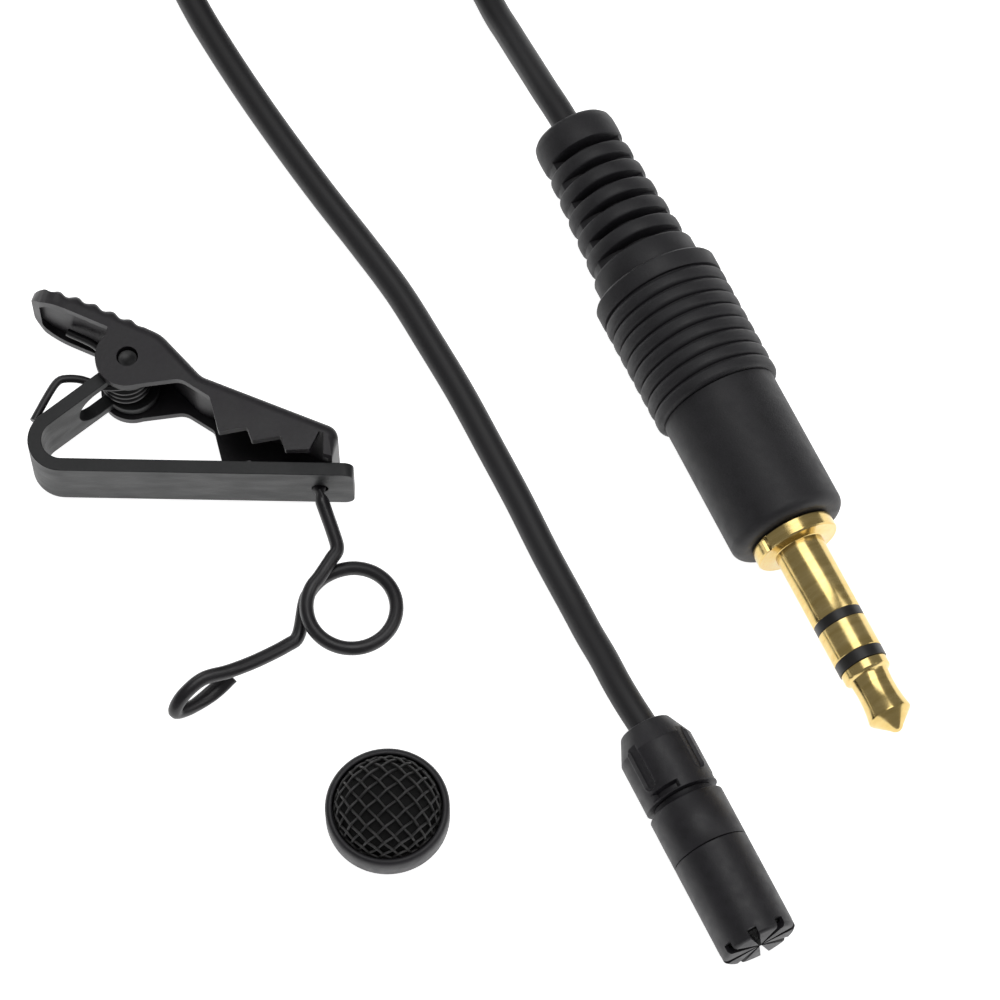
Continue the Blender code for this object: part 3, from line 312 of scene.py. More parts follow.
def smooth_route(route, spacing):
    """Points about a spacing apart on a smooth curve through the route's own points."""
    route = [Vector(point) for point in route]
    padded = [2 * route[0] - route[1], *route, 2 * route[-1] - route[-2]]
    fine = []
    for i in range(1, len(padded) - 2):
        p0, p1, p2, p3 = padded[i - 1:i + 3]
        for step in range(12):
            t = step / 12
            fine.append(0.5 * (2 * p1 + (p2 - p0) * t + (2 * p0 - 5 * p1 + 4 * p2 - p3) * t * t
                               + (3 * p1 - p0 - 3 * p2 + p3) * t ** 3))
    fine.append(route[-1])
    run = np.concatenate([[0.0], np.cumsum([(b - a).length for a, b in zip(fine, fine[1:])])])
    at = np.linspace(0.0, run[-1], max(3, round(run[-1] / spacing) + 1))
    table = np.array(fine)
    return [Vector([np.interp(s, run, table[:, axis]) for axis in range(3)]) for s in at]


# ---------------------------------------------------------------- meshes, all in millimetres

def shape_of(verts, faces):
    """A clean closed shape, its faces outward."""
    mesh = bpy.data.meshes.new("shape")
    mesh.from_pydata([tuple(vert) for vert in verts], [], faces)
    work = bmesh.new()
    work.from_mesh(mesh)
    bmesh.ops.remove_doubles(work, verts=work.verts, dist=1e-5)
    bmesh.ops.recalc_face_normals(work, faces=work.faces)
    work.to_mesh(mesh)
    work.free()
    return mesh


def spun(profile, sides, warp=None):
    """A closed (z, r) profile turned round Z; warp may change each point's radius."""
    verts, faces = [], []
    count = len(profile)
    for k in range(sides):
        turn = 2 * math.pi * k / sides
        for z, r in profile:
            radius = warp(z, r, turn) if warp else r
            verts.append((radius * math.cos(turn), radius * math.sin(turn), z))
    for k in range(sides):
        here, following = k * count, (k + 1) % sides * count
        for i in range(count):
            j = (i + 1) % count
            quad = [here + i, following + i, following + j, here + j]
            if profile[i][1] < 1e-6 and profile[j][1] < 1e-6:
                continue
            if profile[i][1] < 1e-6:
                quad = [here + i, following + j, here + j]
            elif profile[j][1] < 1e-6:
                quad = [here + i, following + i, here + j]
            faces.append(quad)
    return shape_of(verts, faces)


def swept(points, radius, sides, flat=None, uv=False):
    """A wire along points; flat gives the width and height factors at each share of it."""
    points = [Vector(point) for point in points]
    verts, faces = [], []
    along = (points[1] - points[0]).normalized()
    side = along.orthogonal().normalized()
    if flat is not None:
        side = (UP - along * UP.dot(along)).normalized()
    last = len(points) - 1
    run = 0.0
    runs = []
    for index, point in enumerate(points):
        before, after = points[max(index - 1, 0)], points[min(index + 1, last)]
        turned = (after - before).normalized()
        side = (along.rotation_difference(turned) @ side)
        side = (side - turned * side.dot(turned)).normalized()
        along = turned
        across = along.cross(side)
        tall, wide = flat(index / last) if flat is not None else (1.0, 1.0)
        run += (point - before).length
        runs.append(run)
        for k in range(sides):
            a = 2 * math.pi * k / sides
            verts.append(point + side * (radius * tall * math.cos(a))
                         + across * (radius * wide * math.sin(a)))
    for index in range(last):
        for k in range(sides):
            a, b = index * sides + k, index * sides + (k + 1) % sides
            faces.append([a, b, b + sides, a + sides])
    faces.append(list(range(sides))[::-1])
    faces.append(list(range(last * sides, (last + 1) * sides)))
    mesh = bpy.data.meshes.new("shape")
    mesh.from_pydata([tuple(vert) for vert in verts], [], faces)
    if uv:
        layer = mesh.uv_layers.new(name="along")
        girth = 2 * math.pi * radius * MM
        for face in mesh.polygons:
            ring = [mesh.loops[loop].vertex_index % sides for loop in face.loop_indices]
            wraps = max(ring) == sides - 1 and min(ring) == 0 and len(ring) == 4
            for loop, k in zip(face.loop_indices, ring):
                share = (k + sides if wraps and k == 0 else k) / sides
                place = runs[mesh.loops[loop].vertex_index // sides] * MM
                layer.data[loop].uv = (share * girth, place)
    return mesh


def prism(outline, half, centre=0.0):
    """A flat outline in X and Y, as thick as twice half."""
    count = len(outline)
    verts = [(x, y, centre - half) for x, y in outline] + [(x, y, centre + half) for x, y in outline]
    faces = [list(range(count))[::-1], list(range(count, 2 * count))]
    faces += [[i, (i + 1) % count, (i + 1) % count + count, i + count] for i in range(count)]
    return shape_of(verts, faces)


def object_of(mesh, name="working"):
    """An object in the scene that holds the mesh."""
    made = bpy.data.objects.new(name, mesh)
    bpy.context.scene.collection.objects.link(made)
    return made


def evaluated(made):
    """The object's mesh with its modifiers in it; the object is removed."""
    bpy.context.view_layer.update()
    mesh = bpy.data.meshes.new_from_object(
        made.evaluated_get(bpy.context.evaluated_depsgraph_get()))
    bpy.data.objects.remove(made, do_unlink=True)
    return mesh


def carve(mesh, other, operation="DIFFERENCE"):
    """One mesh cut by, joined with or kept inside another."""
    base, tool = object_of(mesh), object_of(other)
    step = base.modifiers.new("carve", "BOOLEAN")
    step.operation = operation
    step.object = tool
    step.solver = "EXACT"
    made = evaluated(base)
    bpy.data.objects.remove(tool, do_unlink=True)
    return made


def eased(mesh, width, segments=2, angle=35.0):
    """The mesh with its sharp edges rounded off."""
    made = object_of(mesh)
    step = made.modifiers.new("ease", "BEVEL")
    step.width = width
    step.segments = segments
    step.limit_method = "ANGLE"
    step.angle_limit = math.radians(angle)
    step.miter_outer = "MITER_ARC"
    return evaluated(made)


def merged(*meshes):
    """Several shapes as one mesh."""
    work = bmesh.new()
    for mesh in meshes:
        work.from_mesh(mesh)
    made = bpy.data.meshes.new("merged")
    work.to_mesh(made)
    work.free()
    return made


def moved(mesh, matrix):
    """The mesh itself, carried by the matrix."""
    mesh.transform(matrix)
    return mesh


def finished(name, mesh, place, material, body, stands_for=(), sharp=35.0,
             flat_faces=False):
    """A finished piece: carried to its place, given its material, and riding on its body.

    sharp: the angle, in degrees, from which an edge stays crisp.  flat_faces: large flat faces
    keep an even shade next to their rounded edges.
    """
    mesh.name = name
    mesh.transform(place)
    mesh.materials.clear()
    mesh.materials.append(material)
    mesh.shade_smooth()
    mesh.set_sharp_from_angle(angle=math.radians(sharp))
    made = object_of(mesh, name)
    if flat_faces:
        step = made.modifiers.new("even_shade", "WEIGHTED_NORMAL")
        step.keep_sharp = True
        made = object_of(evaluated(made), name)
        made.name = made.data.name = name
    if body:
        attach(made, body)
    if stands_for:
        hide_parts(*stands_for)
    return made


FLOAT, COUNT = "NodeSocketFloat", "NodeSocketInt"


def grown(name, tree, values, material):
    """The mesh that a geometry tree makes from its named sizes."""
    made = object_of(bpy.data.meshes.new(name), name)
    step = made.modifiers.new(name, "NODES")
    step.node_group = tree
    sockets = {item.name: item.identifier for item in tree.interface.items_tree
               if item.item_type == "SOCKET" and item.in_out == "INPUT"}
    for label, value in values.items():
        step[sockets[label]] = value
    step[sockets["Finish"]] = material
    return evaluated(made)


def new_tree(name, sizes):
    """A geometry tree with named inputs; returns it with its input and output nodes."""
    tree = bpy.data.node_groups.new(name, "GeometryNodeTree")
    for label, (kind, value) in sizes.items():
        socket = tree.interface.new_socket(label, in_out="INPUT", socket_type=kind)
        socket.default_value = value
    tree.interface.new_socket("Finish", in_out="INPUT", socket_type="NodeSocketMaterial")
    tree.interface.new_socket("Geometry", in_out="OUTPUT", socket_type="NodeSocketGeometry")
    return tree, add(tree, "NodeGroupInput"), add(tree, "NodeGroupOutput")


def close_tree(tree, given, result, geometry):
    """Ends a tree: instances made real, smooth, and given the finish."""
    real = add(tree, "GeometryNodeRealizeInstances", {"Geometry": geometry})
    done = add(tree, "GeometryNodeSetMaterial", {"Geometry": real.outputs[0],
                                                 "Material": given.outputs["Finish"]})
    tree.links.new(done.outputs[0], result.inputs[0])


# ---------------------------------------------------------------- cord

CORD_R = 1.0
CORD_TUCK = 0.9             # how far each end goes into its fitting
CORD_MOUTH = -0.3           # just outside the fitting, where the cord still runs straight
HEAD_ROUTE = [(15.25, -6.1, 2.6), (14.3, -4.3, 2.42), (13.46, -2.4, 2.0), (12.46, -0.35, 1.5),
              (11.55, 1.65, 1.15), (9.6, 5.6, 1.02), (7.75, 9.6, 1.02), (5.8, 13.55, 1.02),
              (3.8, 17.55, 1.02), (1.64, 21.45, 1.02), (-0.61, 25.35, 1.02),
              (-3.16, 29.05, 1.02), (-5.79, 32.7, 1.02), (-8.39, 36.5, 1.02),
              (-10.93, 40.4, 1.02), (-13.36, 44.4, 1.02), (-15.3, 47.9, 1.02),
              (-17.16, 51.95, 1.02), (-18.21, 54.85, 1.02)]
PLUG_ROUTE = [(10.44, 37.95, 4.45), (9.64, 39.50, 4.10), (8.74, 41.50, 3.40), (7.89, 43.45, 2.60),
              (7.04, 45.40, 1.85), (6.34, 46.90, 1.35), (5.69, 48.40, 1.10), (5.04, 50.05, 1.02),
              (4.59, 52.85, 1.02), (4.34, 55.75, 1.02)]
COIL_INNER_R = 8.5          # middle of the innermost turns
TURN_STEP = 2 * CORD_R
COIL_STEP = 7.5             # degrees between the points of a turn
# Each turn's place in the bundle: column from the inside, layer from the table.
TURNS = [(3, 0), (2, 0), (1, 0), (0, 0), (0, 1), (0, 2), (0, 3), (1, 3), (2, 3), (3, 3), (3, 2),
         (2, 2), (1, 2), (1, 1), (2, 1), (3, 1)]
COIL_START = 200.0          # degrees, where the lead has joined the coil
COIL_END = -4.0             # degrees, where it starts to leave
SHIFT = (250.0, 207.0)      # degrees, where each turn moves over to the next place
TIE_AT = 60.0               # degrees, where the tie lifts the turns off the table
TIE_SPREAD = 24.0
# How the cord joins the coil and leaves it: (degrees round, radius, height), and
# (degrees round, degrees rolled over the outermost turn).
COIL_JOIN = ((219.5, 15.55, 1.02), (208.0, 14.7, 1.01))
COIL_LEAVE = ((-12.0, 22.0), (-24.0, 50.0), (-35.0, 76.0))
LEAVE_GAP = 2.05            # between the middles of the leaving cord and the turn it rolls over


def coil_point(turn, radius, height):
    """A point round the coil's middle."""
    angle = math.radians(turn)
    return (COIL_MID.x + radius * math.cos(angle), COIL_MID.y + radius * math.sin(angle), height)


def coil_route():
    """The wound turns, clockwise seen from above, each moving over near its end."""
    route = [coil_point(*place) for place in COIL_JOIN]
    total = COIL_START - COIL_END + 360.0 * (len(TURNS) - 1)
    last = len(TURNS) - 1
    for k in range(int(total / COIL_STEP) + 1):
        turn = COIL_START - k * COIL_STEP
        wound = (SHIFT[0] - (turn - 360.0)) / 360.0 - 1.0
        whole = math.floor(wound)
        share = min(1.0, (wound - whole) * 360.0 / (SHIFT[0] - SHIFT[1]))
        share = share * share * (3 - 2 * share)
        before = TURNS[min(max(whole - 1, 0), last)]
        after = TURNS[min(max(whole, 0), last)]
        column = before[0] + (after[0] - before[0]) * share
        layer = before[1] + (after[1] - before[1]) * share
        off_tie = (turn - TIE_AT + 180.0) % 360.0 - 180.0
        lift = (COIL_LOW.z / MM) * math.exp(-(off_tie / TIE_SPREAD) ** 2)
        route.append(coil_point(turn, COIL_INNER_R + TURN_STEP * column,
                                CORD_R + TURN_STEP * layer + lift))
    outer = COIL_INNER_R + 3 * TURN_STEP
    for turn, over in COIL_LEAVE:
        tilt = math.radians(over)
        route.append(coil_point(turn, outer + LEAVE_GAP * math.sin(tilt),
                                CORD_R + LEAVE_GAP * math.cos(tilt)))
    return route


def lead_cord():
    """The lead, from inside the head, through the coil, into the plug; and its middle line."""
    inside = Vector((0.0, 0.0, CORD_TUCK))
    mouth = Vector((0.0, 0.0, CORD_MOUTH))
    route = [HEAD @ inside / MM, HEAD @ mouth / MM, *HEAD_ROUTE, *coil_route(),
             *reversed(PLUG_ROUTE), PLUG @ mouth / MM, PLUG @ inside / MM]
    points = smooth_route(route, 0.6)
    lead = finished("lead_cord", swept(points, CORD_R, 14, uv=True), SCALE, JACKET, "microphone",
                    ("head_cord", "cord_coil", "plug_cord"), 60.0)
    return lead, [Vector(point) * MM for point in points]


# ---------------------------------------------------------------- tie

STRAP_T = 0.5
STRAP_HALF = 1.3


def bundle_tie():
    """The nylon tie: a strap round the bundle, its square head, and the cut tail."""
    low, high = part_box("cable_tie")
    turn = math.radians(TIE_AT)
    middle = (low + high) / 2
    across = Vector((math.cos(turn), math.sin(turn), 0.0))
    place = axes(across, UP, across.cross(UP), middle)
    half = (high.z - low.z) / MM / 2
    inside = half - STRAP_T
    strap = eased(carve(prism(oblong(-half, -half, half, half, 1.5), STRAP_HALF),
                        prism(oblong(-inside, -inside, inside, inside, 1.0), 3.0)), 0.1)
    head = eased(carve(prism(oblong(-2.0, -1.0, 2.0, 1.0, 0.4), 1.5),
                       prism(oblong(-1.2, -3.0, 1.2, 3.0, 0.0), 0.9)), 0.12)
    tail = eased(prism(oblong(-0.3, -1.7, 0.3, 1.6, 0.1), 1.1), 0.08)
    head = merged(head, tail)
    moved(head, Matrix.Translation((half - 0.9, 0.0, 0.0)) @ Matrix.Rotation(math.pi / 2, 4, "Z"))
    return finished("cable_tie_strap", merged(strap, head), place, NYLON, "microphone",
                    ("cable_tie",))


# ---------------------------------------------------------------- microphone head

HEAD_R = 2.65
COLLAR_R = 2.6
CONE_R = 1.8
CONE_L = 1.7
CORD_HOLE_R = 1.35
FLUTES = 4
FLUTE_HALF = 0.42
FLUTE_DEEP = 0.2
FLUTE_END = 4.6
BURR_RISE = 0.03            # the lip that the cutter leaves along a flute
POCKETS = 3
POCKET_DEEP = 0.42
POCKET_AT = 27.6            # degrees, from straight down
POCKET_HALF = 24.0          # degrees
POCKET_Z = (4.84, 5.36)
SLOTS = 8
SLOT_HALF = 0.31
SLOT_DEEP = 0.65
SLOT_TURN = 11.0            # degrees, from straight down
SLOT_HUB = 0.22
FRONT_WALL = 0.45


def ramp(value, width):
    """Rises from nothing to one over a width."""
    return min(1.0, max(0.0, value / width))


def bowl(value):
    """A round-bottomed dip: one in the middle, nothing at either end."""
    return math.sqrt(max(0.0, 1.0 - value * value))


def collar_shell():
    """Rear collar: a cone and a band, with four flutes and three finger pockets."""
    top = span("rear_collar", HEAD)[1]
    heights = [0.05 + (top - 0.1) * i / 110 for i in range(111)]
    outer = [(z, min(COLLAR_R, CONE_R + (COLLAR_R - CONE_R) * z / CONE_L)) for z in heights]
    profile = [(0.0, CORD_HOLE_R), (0.0, CONE_R - 0.04), *outer, (top, COLLAR_R - 0.06),
               (top, 1.95), (1.5, 1.95), (1.5, CORD_HOLE_R)]

    def relief(z, r, turn):
        """Cuts the flutes and pockets into the collar's outside."""
        if r < CONE_R - 0.05 or z >= top:
            return r
        flute = 360.0 / FLUTES
        off = math.radians(math.degrees(turn) % flute - flute / 2)
        away = math.hypot(off * COLLAR_R / FLUTE_HALF,
                          max(0.0, (z - FLUTE_END + FLUTE_HALF) / FLUTE_HALF))
        burr = BURR_RISE * math.exp(-((away - 1.12) / 0.12) ** 2) if z > CONE_L else 0.0
        cut = COLLAR_R - FLUTE_DEEP * min(1.0, 1.6 * bowl(away)) if away < 1.0 else r + burr
        pocket = 360.0 / POCKETS
        past = abs((math.degrees(turn) - POCKET_AT) % pocket - pocket / 2)
        inside = (ramp(POCKET_HALF - past, 3.0) * ramp(z - POCKET_Z[0], 0.08)
                  * ramp(POCKET_Z[1] - z, 0.08))
        return min(r + burr, cut) - POCKET_DEEP * inside

    return finished("rear_collar_shell", spun(profile, 240, relief), HEAD, ANODISED, "microphone",
                    ("rear_collar",), 40.0)


def sleeve_shell():
    """Middle sleeve: a narrow groove, then a plain band with eased edges."""
    foot, top = span("barrel_sleeve", HEAD)
    groove_foot = span("rear_collar", HEAD)[1] + 0.04
    seam = span("capsule_housing", HEAD)[0]
    step = groove_foot + 0.5
    profile = [(groove_foot, 1.8), (groove_foot, 2.1), (step - 0.02, 2.1), (step, 2.12),
               (step, HEAD_R - 0.07), (step + 0.07, HEAD_R), (seam - 0.09, HEAD_R),
               (seam - 0.04, HEAD_R - 0.05), (seam - 0.03, 2.3), (top, 2.28), (top, 1.5),
               (foot, 1.5), (foot, 1.88)]
    return finished("barrel_sleeve_shell", spun(profile, 128), HEAD, ANODISED, "microphone",
                    ("barrel_sleeve",), 50.0)


def housing_shell():
    """Capsule housing: a cup with eight slots that run out through its front rim."""
    foot, front = span("capsule_housing", HEAD)
    bore = HEAD_R - 0.3
    floor = front - FRONT_WALL
    half_slot = math.asin(SLOT_HALF / HEAD_R)
    profile = [(front, 0.0), (front, HEAD_R - 0.26), (front - 0.05, HEAD_R - 0.15),
               (front - 0.15, HEAD_R - 0.04), (front - 0.26, HEAD_R), (foot + 0.05, HEAD_R),
               (foot, HEAD_R - 0.05), (foot, bore), (floor, bore), (floor, 0.0)]
    cup = spun(profile, 128)
    star = []
    for k in range(SLOTS):
        turn = math.radians(SLOT_TURN) + 2 * math.pi * k / SLOTS
        for side, far in ((-half_slot, 4.0), (half_slot, 4.0), (math.pi / SLOTS, SLOT_HUB)):
            star.append((far * math.cos(turn + side), far * math.sin(turn + side)))
    cup = carve(cup, prism(star, SLOT_DEEP, front))
    return finished("capsule_housing_shell", cup, HEAD, ANODISED, "microphone",
                    ("capsule_housing",), 30.0, flat_faces=True)


# ---------------------------------------------------------------- plug

BOOT_END = 2.0
BOOT_RINGS = 5
BOOT_RING_L = 0.88
BOOT_GAP_L = 0.76
BOOT_FLARE = 0.12           # how much each ring is wider than the one before
BOOT_GAP_R = 2.9
BOOT_RING_R = 3.02
BOOT_COLLAR_R = 3.75
BOOT_FOOT = -0.3            # where the end collar starts
BOOT_BORE = 1.2
WINDOW_DEEP = 1.25
NOTCH_DEEP = 0.14
WALL_IN = 0.08              # how far a window stays clear of the rings beside it


def boot_moulding():
    """Flexible boot: an end collar, rings split by windows above and below, a wide collar."""
    foot, top = span("strain_relief_boot", PLUG)
    collar_top = span("plug_grip", PLUG)[0] - 0.06
    collar_foot = BOOT_END + BOOT_RINGS * (BOOT_RING_L + BOOT_GAP_L) + BOOT_GAP_L
    outer = [(BOOT_FOOT, 1.9), (-0.28, 2.34), (-0.18, 2.66), (0.06, 2.88), (0.5, 2.98),
             (1.2, 3.0), (1.8, 2.97), (BOOT_END - 0.06, 2.93), (BOOT_END, 2.84)]
    gaps = []
    for k in range(BOOT_RINGS + 1):
        start = BOOT_END + k * (BOOT_GAP_L + BOOT_RING_L)
        end = start + BOOT_GAP_L
        gaps.append((start, end))
        radius = BOOT_GAP_R + BOOT_FLARE * k
        outer += [(start + 0.09, radius), (start + 0.2, radius), (end - 0.2, radius),
                  (end - 0.09, radius)]
        if k < BOOT_RINGS:
            ring = BOOT_RING_R + BOOT_FLARE * k
            ring_end = end + BOOT_RING_L
            outer += [(end - 0.06, ring - 0.1), (end, ring - 0.03), (end + 0.1, ring + 0.01),
                      (end + BOOT_RING_L / 2, ring + 0.03), (ring_end - 0.1, ring + 0.01),
                      (ring_end, ring - 0.03), (ring_end + 0.06, ring - 0.1)]
    wide = BOOT_COLLAR_R
    outer += [(collar_foot, wide - 0.15), (collar_foot + 0.08, wide - 0.05),
              (collar_foot + 0.2, wide), (collar_top - 0.2, wide), (collar_top - 0.08, wide - 0.05),
              (collar_top, wide - 0.15), (collar_top, 2.9), (top, 2.9), (top, BOOT_BORE),
              (BOOT_FOOT, BOOT_BORE)]

    def windows(z, r, turn):
        """Cuts a window above and below in each gap, square-ended and sloping by turns."""
        for k, (start, end) in enumerate(gaps):
            if start + WALL_IN < z < end - WALL_IN and r > 2.0:
                off = abs((math.degrees(turn) + 90.0) % 180.0 - 90.0)
                near, far = (60.0, 64.0) if k % 2 == 0 else (34.0, 66.0)
                share = ramp(far - off, far - near)
                return r - NOTCH_DEEP - (WINDOW_DEEP - NOTCH_DEEP) * share
        return r

    return finished("strain_relief_moulding", spun(outer, 180, windows), PLUG, PVC, "microphone",
                    ("strain_relief_boot",), 40.0)


def rib_tree():
    """Geometry tree: rounded rings of one radius, a pitch apart along Z."""
    tree, given, result = new_tree("grip_ribs", {
        "Ribs": (COUNT, 8), "Pitch": (FLOAT, 1.06), "Radius": (FLOAT, 4.1),
        "Section": (FLOAT, 0.9), "Corner": (FLOAT, 0.3), "First": (FLOAT, 0.0)})
    offset = add(tree, "ShaderNodeCombineXYZ", {"Z": given.outputs["Pitch"]})
    start = add(tree, "ShaderNodeCombineXYZ", {"Z": given.outputs["First"]})
    line = add(tree, "GeometryNodeMeshLine", {"Count": given.outputs["Ribs"],
                                              "Start Location": start.outputs[0],
                                              "Offset": offset.outputs[0]})
    ring = add(tree, "GeometryNodeCurvePrimitiveCircle", {"Resolution": 144,
                                                          "Radius": given.outputs["Radius"]})
    square = add(tree, "GeometryNodeCurvePrimitiveQuadrilateral",
                 {"Width": given.outputs["Section"], "Height": given.outputs["Section"]})
    soft = add(tree, "GeometryNodeFilletCurve",
               {"Curve": square.outputs[0], "Radius": given.outputs["Corner"], "Count": 5},
               mode="POLY")
    rib = add(tree, "GeometryNodeCurveToMesh", {"Curve": ring.outputs[0],
                                                "Profile Curve": soft.outputs[0]})
    placed = add(tree, "GeometryNodeInstanceOnPoints", {"Points": line.outputs[0],
                                                        "Instance": rib.outputs[0]})
    close_tree(tree, given, result, placed.outputs[0])
    return tree


GRIP_RIBS = 8
GRIP_RIBBED_L = 9.945       # from the grip's foot to the last rib's end
GRIP_BAND_L = 1.45
RIB_R = 4.52
RIB_GAP = 0.04
BARREL_R = 4.12
BARREL_ROUND = 0.8
NOSE_R = 2.3                # the hole in the barrel's end
GRIP_BORE = 3.0
PIN_R = 1.75
SHANK_R = 2.2
FLANGE_L = 1.05
CONTACT_BORE = 1.0


def grip_moulding():
    """Grip: a first band and eight ribs over a plain core, then the smooth barrel."""
    foot, top = span("plug_grip", PLUG)
    step, band = foot + GRIP_RIBBED_L, foot + GRIP_BAND_L
    pitch = (GRIP_RIBBED_L - GRIP_BAND_L) / GRIP_RIBS
    profile = [(foot, GRIP_BORE), (foot, 4.3), (foot + 0.06, 4.42), (foot + 0.2, RIB_R),
               (band - 0.2, RIB_R), (band - 0.1, 4.45), (band - 0.06, 4.22),
               (step - 0.08, 4.22), (step - 0.06, 3.95), (step, 3.95), (step + 0.04, BARREL_R)]
    profile += arc((top - BARREL_ROUND, BARREL_R - BARREL_ROUND), BARREL_ROUND, 90, 0)
    profile += [(top, NOSE_R), (top - 2.0, NOSE_R), (top - 2.0, GRIP_BORE)]
    core = spun(profile, 144)
    section = pitch - RIB_GAP
    rings = grown("grip_ribs", rib_tree(),
                  {"Ribs": GRIP_RIBS, "Pitch": pitch, "Section": section, "Corner": 0.36,
                   "Radius": RIB_R - section / 2, "First": band + pitch / 2}, PVC)
    return finished("plug_grip_moulding", merged(core, rings), PLUG, PVC, "microphone",
                    ("plug_grip",), 35.0)


# The tip from its foot: a collar, a waist for the socket's spring, and the start of its cone.
TIP_PROFILE = [(0.0, 0.0), (0.0, 1.6), (0.06, 1.66), (0.62, 1.66), (0.72, 1.6), (0.82, 1.42),
               (0.95, 1.37), (1.7, 1.33), (2.4, 1.35), (3.1, 1.42), (3.72, 1.53), (3.84, 1.53),
               (4.0, 1.4)]


def contact_profile(foot, end, radius, edge=0.05):
    """One plain contact's outside, its ends eased, with a bore."""
    return [(foot, CONTACT_BORE), (foot, radius - edge), (foot + edge, radius),
            (end - edge, radius), (end, radius - edge), (end, CONTACT_BORE)]


def plug_contacts():
    """Sleeve with its flange, ring, tip and the two black bands, each turned."""
    tail, sleeve_end = span("plug_sleeve", PLUG)
    ring_end = span("plug_ring", PLUG)[1]
    first_end = span("ring_insulator", PLUG)[1]
    second_end = span("tip_insulator", PLUG)[1]
    point = span("plug_tip", PLUG)[1]
    flange_r = reach("plug_sleeve", PLUG)
    flange_foot = span("plug_grip", PLUG)[1] + 0.1
    flange_top = flange_foot + FLANGE_L
    outer = [(tail, 1.6), (tail, SHANK_R), (flange_foot, SHANK_R), (flange_foot, flange_r - 0.08),
             (flange_foot + 0.08, flange_r), (flange_top - 0.1, flange_r),
             (flange_top, flange_r - 0.1), (flange_top, PIN_R + 0.08), (flange_top + 0.06, PIN_R),
             (sleeve_end - 0.08, PIN_R), (sleeve_end, PIN_R - 0.06), (sleeve_end, 1.6)]

    def nicked(z, r, turn):
        """Two flats filed in the flange's rim."""
        off = abs((math.degrees(turn) + 40.0) % 180.0 - 90.0)
        on_rim = flange_foot < z < flange_top and r > PIN_R + 0.5
        return r - 0.16 if on_rim and off < 5.0 else r

    tip_foot = second_end + 0.05
    tip = [(tip_foot + z, r) for z, r in TIP_PROFILE]
    tip += [(point - 0.32, 0.52), (point - 0.12, 0.34), (point - 0.02, 0.16), (point, 0.0)]
    ring = contact_profile(first_end + 0.05, ring_end, PIN_R)
    made = []
    for name, node, profile, sharp in (("plug_sleeve_contact", "plug_sleeve", outer, 40.0),
                                       ("plug_ring_contact", "plug_ring", ring, 40.0),
                                       ("plug_tip_contact", "plug_tip", tip, 30.0)):
        shape = spun(profile, 144, nicked) if profile is outer else spun(profile, 96)
        made.append(finished(name, shape, PLUG, GOLD, "microphone", (node,),
                             sharp))
    for name, node, foot, end in (("first_band", "ring_insulator", sleeve_end, first_end + 0.05),
                                  ("second_band", "tip_insulator", ring_end, tip_foot)):
        band = contact_profile(foot + 0.005, end - 0.005, PIN_R - 0.02, 0.02)
        made.append(finished(name, spun(band, 96), PLUG, ACETAL, "microphone",
                             (node,), 40.0))
    return made


# ---------------------------------------------------------------- tie clip

LEVER_HALF = 3.15
SHEET_T = 0.6
STRIP_T = 0.95
STRIP_HALF = 2.35
ARM_DROP = 7.25
ARM_REACH = 15.6
STRIP_ANGLE = 40.5          # degrees, between the strip's arm and its back
PIVOT_HOLE_R = 0.74
HOLDER_AT_X = 13.3
HOLDER_WIRE_R = 0.48
FAR = 20.0                  # past the end of any piece of the clip
PAD_ROUND = 3.1             # how round the thumb pad's two corners are
EAR_R = 2.2                 # the lever's round ear at the pivot
CHANNEL_LOW = -12.0         # below the lever, and it sets how the channel's end wall slopes
# The lever's three teeth: the first one's point, the step to the next, and its gullet.
TOOTH_AT = (6.45, -5.5)
TOOTH_STEP = (2.28, -0.62)
GULLET = (1.9, 0.42)
WEB = [(-7.0, 5.6, 0.0), (-3.2, 4.4, 4.0), (2.2, 1.95, 2.5), (5.1, -1.15, 1.5),
       (14.7, -4.95, 1.0), (14.15, -7.1, 0.0)]
BACK_ROLL = 0.8             # how round the back turns over into the sides
RIDGES = (-6.2, 1.2)        # where the thumb pad's ridges start and end
RIDGE_PITCH = 1.25
RIDGE_RISE = 0.13
RIDGE_WAY = (0.35, 0.94)    # about square on to the pad
RIDGE_STEP = 0.16           # how closely the back's outline is drawn under the ridges
RIDGE_FADE = 0.75           # how far in from the back the ridges still show


def offset_line(line, distance):
    """The corners of a line moved sideways to its right, with its radii kept true."""
    shifted = []
    points = [Vector(corner[:2]) for corner in line]
    normals = []
    for before, after in zip(points, points[1:]):
        along = (after - before).normalized()
        normals.append(Vector((along.y, -along.x)))
    for index, point in enumerate(points):
        before = normals[max(index - 1, 0)]
        after = normals[min(index, len(normals) - 1)]
        middle = (before + after).normalized()
        place = point + middle * (distance / middle.dot(after))
        radius = line[index][2]
        if radius > 0.0:
            radius += -distance if before.cross(after) < 0.0 else distance
        shifted.append((place.x, place.y, radius))
    return shifted


def drill(radius):
    """The waste of a round hole across the clip, on the pivot's axis."""
    return spun([(-5.0, 0.0), (-5.0, radius), (5.0, radius), (5.0, 0.0)], 40)


def back_line():
    """The lever's back seen from its side, from the foot's end to the pad's end."""
    line = []
    plain = rounded(WEB)
    for a, b in zip(plain, plain[1:]):
        ridged = min(a[0], b[0]) < RIDGES[1]
        steps = max(1, round(math.dist(a, b) / RIDGE_STEP)) if ridged else 1
        line += [(a[0] + (b[0] - a[0]) * i / steps, a[1] + (b[1] - a[1]) * i / steps)
                 for i in range(steps)]
    line.append(plain[-1])
    return line


